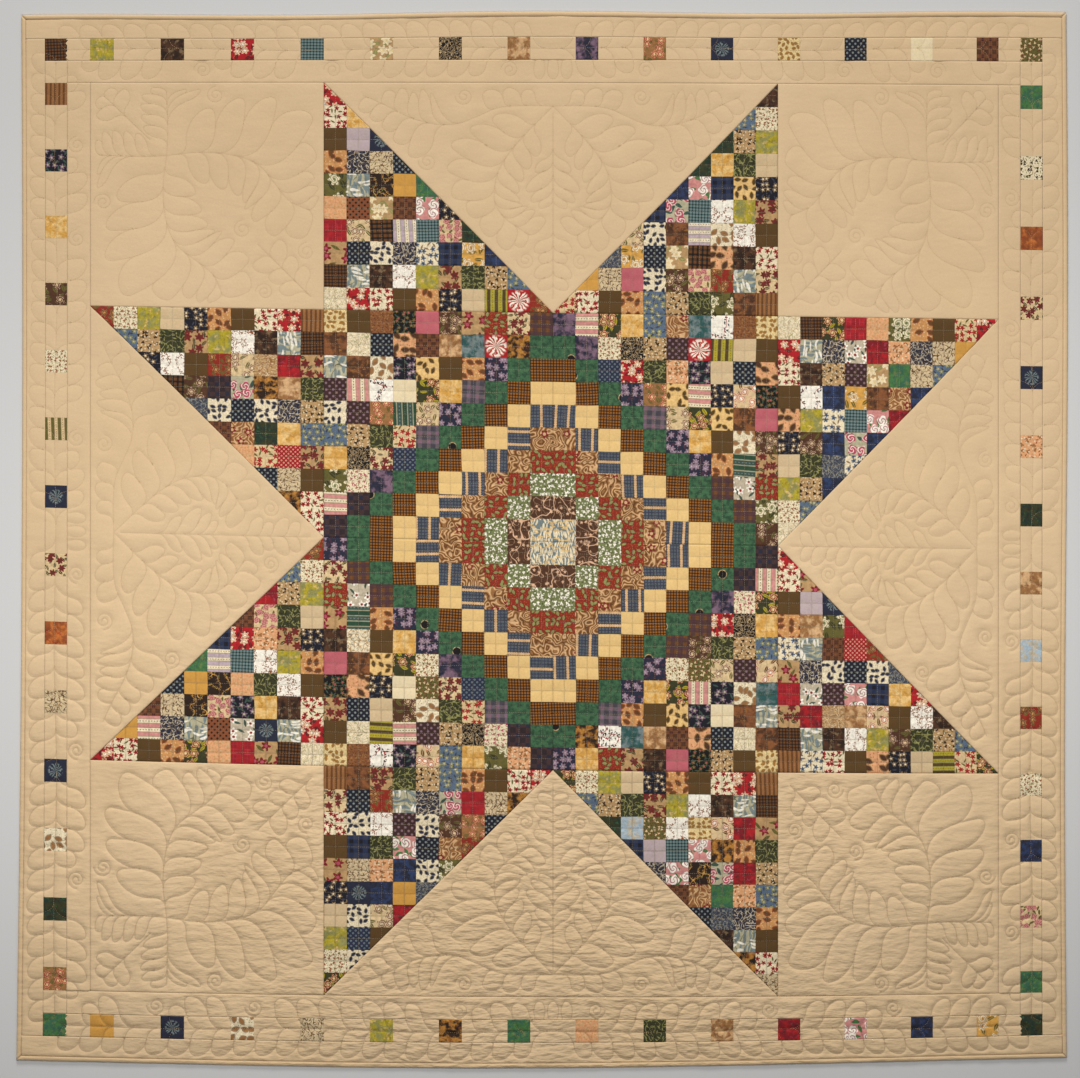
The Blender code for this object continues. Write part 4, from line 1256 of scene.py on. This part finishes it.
# Adds the edge walls and the flat underside to a panel's top, as one closed mesh
def closeShell(flat, heights, triangles):
    count = len(flat)
    starts = np.concatenate([triangles[:, 0], triangles[:, 1], triangles[:, 2]]).astype(np.int64)
    ends = np.concatenate([triangles[:, 1], triangles[:, 2], triangles[:, 0]]).astype(np.int64)
    outer = ~np.isin(starts * count + ends, ends * count + starts)
    starts = starts[outer]
    ends = ends[outer]
    rim = np.unique(np.concatenate([starts, ends]))
    under = {int(top): count + i for i, top in enumerate(rim)}
    points = np.vstack([toWorld(flat, heights), toWorld(flat[rim], np.zeros(len(rim)))])
    walls = [[a, under[a], under[b], b] for a, b in zip(starts.tolist(), ends.tolist())]
    loop = [(under[a] - count, under[b] - count) for a, b in zip(starts.tolist(), ends.tolist())]
    found = delaunay_2d_cdt([tuple(p) for p in flat[rim].tolist()], loop, [], 1, 1e-7)
    source = [sources[0] for sources in found[3]]
    below = [[count + source[i] for i in reversed(face)] for face in found[2]]
    return points, walls, below


def upwards(flat, triangles):
    a, b, c = (flat[triangles[:, k]] for k in range(3))
    area = (b[:, 0] - a[:, 0]) * (c[:, 1] - a[:, 1]) - (b[:, 1] - a[:, 1]) * (c[:, 0] - a[:, 0])
    triangles = triangles[np.abs(area) > 1e-12]
    area = area[np.abs(area) > 1e-12]
    return np.where((area > 0)[:, None], triangles, triangles[:, ::-1])


def newPiece(name, points, faces, materials, gaps):
    mesh = bpy.data.meshes.new(name)
    mesh.from_pydata(points.tolist(), [], faces)
    for material in materials:
        mesh.materials.append(material)
    for kind, gap in gaps.items():
        values = np.full(len(points), 0.5, dtype=np.float32)
        values[:len(gap)] = gap
        mesh.attributes.new(kind, "FLOAT", "POINT").data.foreach_set("value", values)
    mesh.update()
    piece = bpy.data.objects.new(name, mesh)
    bpy.context.collection.objects.link(piece)
    return piece


# A closed cloth panel. looks gives each top face's material number, gaps each top point's distance
# to its nearest seam and stitching, and prints, where it is given, the pattern's place and dyes.
def newPanel(name, flat, heights, triangles, materials, looks, gaps, prints=None):
    points, walls, below = closeShell(flat, heights, triangles)
    piece = newPiece(name, points, triangles.tolist() + walls + below, materials, gaps)
    mesh = piece.data
    top = len(triangles)
    index = np.zeros(len(mesh.polygons), dtype=np.int32)
    index[:top] = looks
    mesh.polygons.foreach_set("material_index", index)
    mesh.polygons.foreach_set("use_smooth", np.arange(len(index)) < top)
    if prints is not None:
        corners = len(mesh.loops)
        place = np.zeros((corners, 2), dtype=np.float32)
        place[:3 * top] = prints["place"].reshape(-1, 2)
        mesh.uv_layers.new(name="printMap").data.foreach_set("uv", place.ravel())
        for dye in dyeNames:
            colours = np.zeros((corners, 4), dtype=np.float32)
            colours[:3 * top] = np.repeat(prints[dye], 3, axis=0)
            mesh.attributes.new(dye, "FLOAT_COLOR", "CORNER").data.foreach_set("color", colours.ravel())
    mesh.validate()
    mesh.update()
    return piece


def declare(piece, node):
    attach(piece, "root")
    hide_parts(node)


# The star's panels lie on a grid whose lines fall on the seams and on the stitching
starCloth = {
    "cells": 12,
    "mergedRings": (0, 1, 2, 3, 4, 6, 7),  # here the two squares at the middle are one patch
    "fullWander": 0.8,
    "stitchStep": 0.05,
    "stitchEdge": 0.03,
}


def starGrid(corners, slant):
    cells = starCloth["cells"]
    low = np.min(corners, axis=0)
    size = int(round(float(np.max(corners, axis=0)[0] - low[0])))
    count = size * cells
    ticks = np.arange(count + 1) / cells
    uu, vv = np.meshgrid(low[0] + ticks, low[1] + ticks)
    flat = np.stack([uu.ravel(), vv.ravel()], axis=1)
    i, j = np.meshgrid(np.arange(count), np.arange(count))
    a = (j * (count + 1) + i).ravel()
    b = a + 1
    d = a + count + 1
    c = d + 1
    if slant > 0:
        triangles = np.vstack([np.stack([a, b, c], axis=1), np.stack([a, c, d], axis=1)])
    else:
        triangles = np.vstack([np.stack([a, b, d], axis=1), np.stack([b, c, d], axis=1)])
    centres = flat[triangles].mean(axis=1)
    triangles = triangles[edgeGaps(centres, corners).min(axis=1) > 0]
    used = np.unique(triangles)
    renumber = np.zeros(len(flat), dtype=np.int64)
    renumber[used] = np.arange(len(used))
    return flat[used], renumber[triangles]


# Distance from the nearest patch seam
def patchGap(flat):
    gapU = np.abs(flat[:, 0] - np.round(flat[:, 0]))
    gapV = np.abs(flat[:, 1] - np.round(flat[:, 1]))
    au = np.abs(flat[:, 0])
    av = np.abs(flat[:, 1])
    joinedU = (au < 1) & np.isin(np.floor(av + 1e-6), starCloth["mergedRings"]) & (av < 10)
    joinedV = (av < 1) & np.isin(np.floor(au + 1e-6), starCloth["mergedRings"]) & (au < 10)
    gapU = np.where(joinedU, 1 - au, gapU)
    gapV = np.where(joinedV, 1 - av, gapV)
    return np.minimum(gapU, gapV)


def starHeights(flat, corners, seams):
    slope = relief["starSlope"]
    whole = 1 - math.exp(-0.5 / slope)
    fill = np.ones(len(flat))
    for k in range(2):
        away = np.abs(flat[:, k] - np.floor(flat[:, k]) - 0.5)
        fill = fill * (1 - np.exp(-away / slope)) / whole
    rise = (relief["starPuff"] - relief["stitch"]) * fill
    gaps = edgeGaps(flat, corners)
    for k, isSeam in enumerate(seams):
        if isSeam:
            rise = rise * (1 - relief["seamDip"] * np.exp(-gaps[:, k] / relief["seamSlope"]))
    dip = relief["patchSeamDip"] * np.exp(-(patchGap(flat) / relief["patchSeamWidth"]) ** 2)
    return relief["stitch"] + rise - dip * fill + unevenness(flat[:, 0], flat[:, 1])


# Moves points of a panel a little off its edges, and off the true grid inside it
def starPlace(flat, corners):
    gaps = edgeGaps(flat, corners)
    out = flat.astype(float).copy()
    for k, (_, _, inwards) in enumerate(sidesOf(corners)):
        out += np.maximum(0, layout["slit"] - gaps[:, k])[:, None] * inwards
    share = np.clip(gaps.min(axis=1) / starCloth["fullWander"], 0, 1)
    du, dv = wander(flat[:, 0], flat[:, 1])
    out[:, 0] += share * du
    out[:, 1] += share * dv
    return out


def blankPrints(count):
    dyes = {dye: np.ones((count, 4)) for dye in dyeNames}
    return {"place": np.zeros((count, 3, 2)), **dyes}, np.zeros(count, dtype=np.int32), []


def patchPrints(flat, triangles):
    cells = np.floor(flat[triangles].mean(axis=1)).astype(int)
    prints, looks, used = blankPrints(len(triangles))
    for cell in sorted(set(map(tuple, cells.tolist()))):
        here = (cells[:, 0] == cell[0]) & (cells[:, 1] == cell[1])
        fabric, key = fabricAt(cell)
        setPatch(fabric, key, here, flat[triangles[here]], prints, looks, used)
    return prints, looks, used


# Gives the faces of one patch its print: material, dyes and the pattern's place and turn
def setPatch(fabric, key, here, spots, prints, looks, used):
    kind, colours, repeat = fabrics[fabric]
    if kind not in used:
        used.append(kind)
    looks[here] = used.index(kind) + 1
    for dye, colour in zip(dyeNames, colours):
        prints[dye][here, :3] = palette[colour]
    chance = abs(math.sin(key[0] * 12.9898 + key[1] * 78.233 + len(fabric)) * 43758.5453) % 1
    turn = math.floor(chance * 4) * math.pi / 2 + 0.1 * (chance - 0.5)
    local = (spots - np.array([key[0] + 0.5, key[1] + 0.5])) * squareInCm / repeat
    c = math.cos(turn)
    s = math.sin(turn)
    shift = 0 if kind in centredPrints else 37 * chance
    prints["place"][here, :, 0] = c * local[..., 0] - s * local[..., 1] + shift
    prints["place"][here, :, 1] = s * local[..., 0] + c * local[..., 1] + 3 * shift


def starStitching(corners):
    low = np.min(corners, axis=0)
    high = np.max(corners, axis=0)
    runs = []
    for axis in (0, 1):
        for level in np.arange(math.floor(low[axis]), math.ceil(high[axis])) + 0.5:
            ends = np.array([low, high], dtype=float)
            ends[:, axis] = level
            runs += clipped(evenly(ends, starCloth["stitchStep"]), corners, starCloth["stitchEdge"])
    return runs


def starPanel(name, node, corners, slant, seams, quarter):
    flat, triangles = starGrid(corners, slant)
    triangles = upwards(flat, triangles)
    heights = starHeights(flat, corners, seams)
    prints, looks, used = patchPrints(flat, triangles)
    materials = [cottons["ground"]] + [cottons[kind] for kind in used]
    sewn = np.abs(flat - np.floor(flat) - 0.5).min(axis=1)
    gaps = {"seamGap": patchGap(flat), "stitchGap": sewn}
    piece = newPanel(name, starPlace(flat, corners), heights, triangles, materials, looks, gaps, prints)
    declare(piece, node)
    stitched["star"][quarter] += [starPlace(run, corners) for run in starStitching(corners)]


# The tan cloth follows its quilting: points along each stitched line, beside it, and between.
# All in squares.
tanCloth = {
    "outline": 0.1,
    "alongLine": 0.07,
    "besideLine": 0.055,
    "lineClear": 0.042,
    "besideEdge": 0.04,
    "besideApart": 0.035,
    "grid": 0.13,
    "gridClear": 0.085,
    "gridEdge": 0.09,
    "rowShare": 0.866,
    "reachOut": 0.1,
    "fineStep": 0.02,
    "sewStep": 0.04,
    "stitchEdge": 0.03,
    "squareDip": 0.3,
    "lastDip": 0.7,
    "halfSquare": 0.5,
    "cutsWithin": 20.95,  # the four corner squares have no cut
}


# Each side of a ring of points as a line of its own
def sidesEvenly(ring):
    return [evenly(np.array([a, b]), tanCloth["outline"]) for a, b in zip(ring, ring[1:] + ring[:1])]


def besideLines(lines, corners):
    beside = []
    for line in lines:
        ahead = np.gradient(line, axis=0)
        ahead = ahead / np.maximum(1e-9, np.linalg.norm(ahead, axis=1))[:, None]
        normal = np.stack([-ahead[:, 1], ahead[:, 0]], axis=1) * tanCloth["besideLine"]
        beside += [line + normal, line - normal]
    return np.vstack(beside + sidesEvenly(drawnIn(corners, tanCloth["besideLine"])))


def fillerGrid(low, high):
    step = tanCloth["grid"]
    filler = []
    for i, row in enumerate(np.arange(low[1], high[1], step * tanCloth["rowShare"])):
        across = np.arange(low[0] + (step / 2 if i % 2 else 0), high[0], step)
        filler.append(np.stack([across, np.full(len(across), row)], axis=1))
    return np.vstack(filler)


# Triangles over a tan panel, along its outline, the seams of its squares and its stitched lines
def tanMesh(corners, rim, reach, runs, sewnTree, cuts):
    ring = np.vstack([side[:-1] for side in sidesEvenly(rim)])
    edges = [(i, (i + 1) % len(ring)) for i in range(len(ring))]
    seams = [evenly(np.array(cut), tanCloth["outline"]) for cut in cuts]
    lines = [evenly(run, tanCloth["alongLine"]) for run in runs]
    start = len(ring)
    for line in seams + lines:
        edges += [(start + i, start + i + 1) for i in range(len(line) - 1)]
        start += len(line)
    beside = besideLines(lines, corners)
    free = distances(beside, sewnTree) > tanCloth["lineClear"]
    beside = beside[free & (edgeGaps(beside, rim).min(axis=1) > tanCloth["besideEdge"])]
    rounded = np.round(beside / tanCloth["besideApart"]).astype(int)
    beside = beside[np.sort(np.unique(rounded, axis=0, return_index=True)[1])]
    filler = fillerGrid(*reach)
    filler = filler[edgeGaps(filler, rim).min(axis=1) > tanCloth["gridEdge"]]
    filler = filler[distances(filler, sewnTree) > tanCloth["gridClear"]]
    spots = np.vstack([ring] + seams + lines + [beside, filler])
    found = delaunay_2d_cdt([tuple(p) for p in spots.tolist()], edges, [], 1, 1e-6)
    flat = np.array([tuple(p) for p in found[0]])
    return flat, upwards(flat, np.array(found[2]))


# Height of the tan cloth, from the distance to its stitching, and how near its seams are
def tanHeights(flat, corners, dips, cuts, sewn):
    high = np.clip((flat[:, 1] - relief["highFrom"]) / relief["highOver"], 0, 1)
    fill = 1 - np.exp(-sewn / (relief["slope"] + relief["slopeHigh"] * high))
    fill = fill * (1 + (relief["riseHigh"] - 1) * high)
    rise = (relief["plumePuff"] - relief["stitch"]) * fill
    gaps = edgeGaps(flat, corners)
    for k, dip in enumerate(dips):
        rise = rise * (1 - dip * np.exp(-gaps[:, k] / relief["seamSlope"]))
    seamGap = gaps.min(axis=1)
    for cut in cuts:
        away = np.abs(edgeGaps(flat, cut)[:, 0])
        rise = rise * (1 - tanCloth["squareDip"] * np.exp(-away / relief["seamSlope"]))
        seamGap = np.minimum(seamGap, away)
    return relief["stitch"] + rise + unevenness(flat[:, 0], flat[:, 1]), seamGap


def tanSurface(corners, lines, dips, cuts):
    rim = drawnIn(corners, layout["slit"])
    low = np.min(corners, axis=0) - tanCloth["reachOut"]
    high = np.max(corners, axis=0) + tanCloth["reachOut"]
    runs = []
    for line in lines:
        if (line.max(axis=0) > low).all() and (line.min(axis=0) < high).all():
            runs += clipped(evenly(line, tanCloth["fineStep"]), rim, tanCloth["stitchEdge"])
    runs = [run for run in runs if len(run) > 3]
    sewnTree = treeOf(np.vstack(runs))
    flat, triangles = tanMesh(corners, rim, (low, high), runs, sewnTree, cuts)
    sewn = distances(flat, sewnTree)
    heights, seamGap = tanHeights(flat, corners, dips, cuts, sewn)
    return flat, triangles, heights, {"seamGap": seamGap, "stitchGap": sewn}, runs


# The seams on both sides of a strip's single squares
def squareCuts(squares, band, quarter):
    half = tanCloth["halfSquare"]
    low = band[0] + layout["slit"]
    high = band[1] - layout["slit"]
    places = [spot + side for spot, _ in squares for side in (-half, half)]
    places = [place for place in places if abs(place) < tanCloth["cutsWithin"]]
    return [turned(np.array([(place, low), (place, high)]), quarter) for place in places]


def squarePrints(flat, triangles, squares, quarter):
    prints, looks, used = blankPrints(len(triangles))
    centres = turned(flat[triangles].mean(axis=1), 4 - quarter)
    for spot, fabric in squares:
        here = np.abs(centres[:, 0] - spot) < tanCloth["halfSquare"]
        corner = turned(np.array([(spot, layout["vineLine"])]), quarter)[0] - 0.5
        setPatch(fabric, tuple(corner), here, flat[triangles[here]], prints, looks, used)
    return prints, looks, used


def tanPanel(name, node, corners, lines, dips, quarter, squares=(), band=(0, 0)):
    cuts = squareCuts(squares, band, quarter)
    flat, triangles, heights, gaps, runs = tanSurface(corners, lines, dips, cuts)
    prints = None
    looks = 0
    used = []
    if squares:
        prints, looks, used = squarePrints(flat, triangles, squares, quarter)
    materials = [cottons[kind] for kind in ["ground"] + used]
    piece = newPanel(name, flat, heights, triangles, materials, looks, gaps, prints)
    declare(piece, node)
    stitched["tan"][quarter] += [evenly(run, tanCloth["sewStep"]) for run in runs]


# For each border: its piece, its node, its inner and outer line, and how deep its edges dip there
stripRounds = (
    ("plain", "plain_strip", "reach", "plainOut", relief["ditchDip"], relief["borderDip"]),
    ("pieced", "pieced_strip", "plainOut", "piecedOut", relief["borderDip"], relief["borderDip"]),
    ("last", "last_strip", "piecedOut", "lastOut", relief["borderDip"], tanCloth["lastDip"]),
)


def floatCorners(*corners):
    return np.array(corners, dtype=float)


def buildStar():
    core = layout["core"]
    reach = layout["reach"]
    middleSquare = floatCorners((0, 0), (core, 0), (core, core), (0, core))
    leftPoint = floatCorners((-core, core), (0, core), (-core, reach))
    rightPoint = floatCorners((0, core), (core, core), (core, reach))
    for k in range(4):
        slant = 1 if k % 2 == 0 else -1
        seams = (False, True, True, False)
        starPanel(f"pieced_middle_{k + 1}", "star_center", turned(middleSquare, k), slant, seams, k)
        for j, (shape, lean) in enumerate(((leftPoint, -slant), (rightPoint, slant))):
            number = 2 * k + j + 1
            name = f"pieced_point_{number}"
            starPanel(name, f"star_point_{number}", turned(shape, k), lean, (True,) * 3, k)
    print("star panels made")


def buildTan():
    core = layout["core"]
    reach = layout["reach"]
    seam = relief["seamDip"]
    ditch = relief["ditchDip"]
    square = floatCorners((core, core), (reach, core), (reach, reach), (core, reach))
    triangle = floatCorners((0, core), (core, reach), (-core, reach))
    cornerLines = cornerQuilting()
    sideLines = sideQuilting()
    for k in range(4):
        lines = [turned(line, k) for line in cornerLines]
        dips = (seam, ditch, ditch, seam)
        tanPanel(f"tan_corner_{k + 1}", f"corner_square_{k + 1}", turned(square, k), lines, dips, k)
        lines = [turned(line, k) for line in sideLines]
        dips = (seam, ditch, seam)
        name = f"tan_side_{k + 1}"
        tanPanel(name, f"side_triangle_{k + 1}", turned(triangle, k), lines, dips, k)
    print("corner and side panels made")


# The places and fabrics of the single squares along one side
def squaresOf(k):
    names = borderSquares[("top", "left", "bottom", "right")[k]].split()
    places = list(np.arange(-19.5, 20, 3))
    if k % 2 == 0:
        places = [-21.5] + places + [21.5]
    return list(zip(places, names))


def buildBorders():
    vineLines = borderQuilting()
    for k in range(4):
        for title, node, inside, outside, innerDip, outerDip in stripRounds:
            low = layout[inside]
            high = layout[outside]
            half = high if k % 2 == 0 else low
            corners = turned(np.array([(-half, low), (half, low), (half, high), (-half, high)]), k)
            dips = (innerDip, relief["borderDip"], outerDip, relief["borderDip"])
            squares = squaresOf(k) if title == "pieced" else ()
            name = f"{title}_border_{k + 1}"
            tanPanel(name, f"{node}_{k + 1}", corners, vineLines, dips, k, squares, (low, high))
    print("border panels made")


# The binding wraps the edge: it rises from its seam to a soft crown and rolls over to the back.
# Each point of its section: place outwards in squares, height, and whether it moves with the cloth.
binding = {
    "step": 0.14,
    "section": (
        (0.000, 0.0, 0), (0.000, 0.0028, 0), (0.018, 0.0042, 1), (0.055, 0.0050, 1), (0.105, 0.0051, 1),
        (0.150, 0.0046, 1), (0.182, 0.0036, 1), (0.197, 0.0022, 1), (0.197, 0.0008, 0), (0.188, 0.0, 0),
    ),
    "ripple": 0.00035,
    "rippleLength": 0.45,
    "follow": 0.6,  # how far it follows the cloth's own unevenness
    "fullHeight": 0.004,
    "flatWidth": 0.014,
}


def bindingStrip(k):
    out, high, moves = np.array(binding["section"]).T
    size = len(out)
    inner = layout["lastOut"] + layout["slit"]
    line = inner + out * (layout["rim"] - inner) / out.max()
    count = int(2 * layout["rim"] / binding["step"])
    shares = np.linspace(-1, 1, count + 1)
    flat = np.array([(share * (at - layout["slit"] * 1.5), at) for share in shares for at in line])
    ripple = softNoise(flat[:, 0] / binding["rippleLength"], np.full(len(flat), 3.0 + k), 31)
    spun = turned(flat, k)
    rise = unevenness(spun[:, 0], spun[:, 1]) * binding["follow"] + binding["ripple"] * ripple
    heights = np.tile(high, count + 1)
    full = np.clip(heights / binding["fullHeight"], 0, 1)
    heights = heights + np.tile(moves, count + 1) * rise * full
    faces = []
    for i in range(count):
        for j in range(size):
            a = i * size + j
            b = i * size + (j + 1) % size
            faces.append([a, a + size, b + size, b])
    faces.append(list(range(size)))
    faces.append([count * size + j for j in reversed(range(size))])
    gaps = {"seamGap": np.tile(out, count + 1), "stitchGap": np.full(len(flat), 0.5)}
    piece = newPiece(f"bound_edge_{k + 1}", toWorld(spun, heights), faces, [cottons["binding"]], gaps)
    piece.data.polygons.foreach_set("use_smooth", np.arange(len(faces)) < len(faces) - 2)
    piece.data.update()
    declare(piece, f"binding_{k + 1}")


def buildBinding():
    for k in range(4):
        bindingStrip(k)
    print("binding made")


# Each stitch is a small spindle of pale thread that dips into the cloth at both ends
thread = {
    "pitch": 0.093,
    "length": 0.93,
    "halfWidth": 0.0065,
    "base": 0.0001,
    "lift": 0.00022,
    "rise": 0.00050,
}


# The five points of each stitch of a line: its ends, its two sides and its crown
def sewLine(run):
    way = runAlong(run)
    starts = np.arange(0.0, way[-1] - 0.5 * thread["pitch"], thread["pitch"])

    def at(s):
        s = np.minimum(way[-1], s)
        return np.stack([np.interp(s, way, run[:, 0]), np.interp(s, way, run[:, 1])], axis=1)

    a = at(starts)
    b = at(starts + thread["pitch"] * thread["length"])
    mid = at(starts + 0.5 * thread["pitch"] * thread["length"])
    ahead = (b - a) / np.maximum(1e-9, np.linalg.norm(b - a, axis=1))[:, None]
    side = np.stack([-ahead[:, 1], ahead[:, 0]], axis=1) * thread["halfWidth"]
    return a, b, mid + side, mid - side, mid


def sewThread(cloth, quarter):
    parts = [sewLine(run) for run in stitched[cloth][quarter] if len(run) > 2]
    groups = [np.vstack([part[k] for part in parts]) for k in range(5)]
    count = len(groups[0])
    lifts = (0.0, 0.0, thread["lift"], thread["lift"], thread["rise"])
    points = np.zeros((count, 5, 3))
    cloudy = relief["stitch"] + unevenness(groups[4][:, 0], groups[4][:, 1]) + thread["base"]
    for k, (group, lift) in enumerate(zip(groups, lifts)):
        points[:, k] = toWorld(group, cloudy + lift)
    pattern = np.array([(0, 3, 4), (3, 1, 4), (1, 2, 4), (2, 0, 4), (0, 2, 3), (2, 1, 3)])
    faces = (np.arange(count)[:, None, None] * 5 + pattern[None]).reshape(-1, 3).tolist()
    name = f"{cloth}_thread_{quarter + 1}"
    piece = newPiece(name, points.reshape(-1, 3), faces, [cottons[cloth + "Thread"]], {})
    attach(piece, "root")
    return len(faces)


def sewAll():
    total = 0
    for cloth, slot in (("star", "patchwork"), ("tan", "ground")):
        total += sum(sewThread(cloth, quarter) for quarter in range(4))
    print("thread sewn, triangles:", total)


# Floor, lights and camera. The camera looks straight down through a long lens.
studio = {
    "floorSize": 14.0,
    "floorShade": 0.62,
    # place, power in watts and size of each lamp
    "lamps": {
        "key": ((-0.3, 6.5, 3.0), 365.0, 1.6),
        "leftFill": ((-0.95, -0.2, 1.6), 13.0, 0.8),
        "rightFill": ((0.9, -0.05, 1.6), 11.5, 0.8),
    },
    "sky": 0.22,
}
cameraSetup = {
    "height": 7.0,
    "metresWide": 2.417,
    "sensor": 36.0,
    "aimX": -0.0067,
    "aimY": -0.0034,
}


def makeStudio():
    bpy.ops.object.select_all(action="DESELECT")
    bpy.ops.mesh.primitive_plane_add(size=studio["floorSize"], location=(0, 0, -0.0005))
    floor = bpy.context.object
    floor.name = "floor"
    paint = bpy.data.materials.new("paleFloor")
    paint.use_nodes = True
    shader = paint.node_tree.nodes["Principled BSDF"]
    shade = studio["floorShade"]
    shader.inputs["Base Color"].default_value = (shade, shade * 0.985, shade * 0.96, 1.0)
    shader.inputs["Roughness"].default_value = 0.8
    floor.data.materials.append(paint)
    for name, (place, power, size) in studio["lamps"].items():
        light = bpy.data.lights.new(name, "AREA")
        light.energy = power
        light.size = size
        lamp = bpy.data.objects.new(name, light)
        lamp.location = place
        if name == "key":
            lamp.rotation_euler = (-Vector(place)).to_track_quat("-Z", "Y").to_euler()
        lamp.visible_camera = False
        bpy.context.collection.objects.link(lamp)
    world = bpy.data.worlds.new("studioAir")
    world.use_nodes = True
    sky = studio["sky"]
    world.node_tree.nodes["Background"].inputs[0].default_value = (sky, sky, sky, 1.0)
    bpy.context.scene.world = world
    bpy.context.scene.view_settings.view_transform = "Standard"


def makeCamera():
    data = bpy.data.cameras.new("camera")
    camera = bpy.data.objects.new("camera", data)
    bpy.context.collection.objects.link(camera)
    data.sensor_width = cameraSetup["sensor"]
    data.lens = cameraSetup["sensor"] * cameraSetup["height"] / cameraSetup["metresWide"]
    x = cameraSetup["aimX"] - middle[0]
    y = cameraSetup["aimY"] - middle[1]
    camera.location = (x, y, cameraSetup["height"])
    bpy.context.scene.camera = camera


buildStar()
buildTan()
buildBorders()
buildBinding()
sewAll()
makeStudio()
makeCamera()
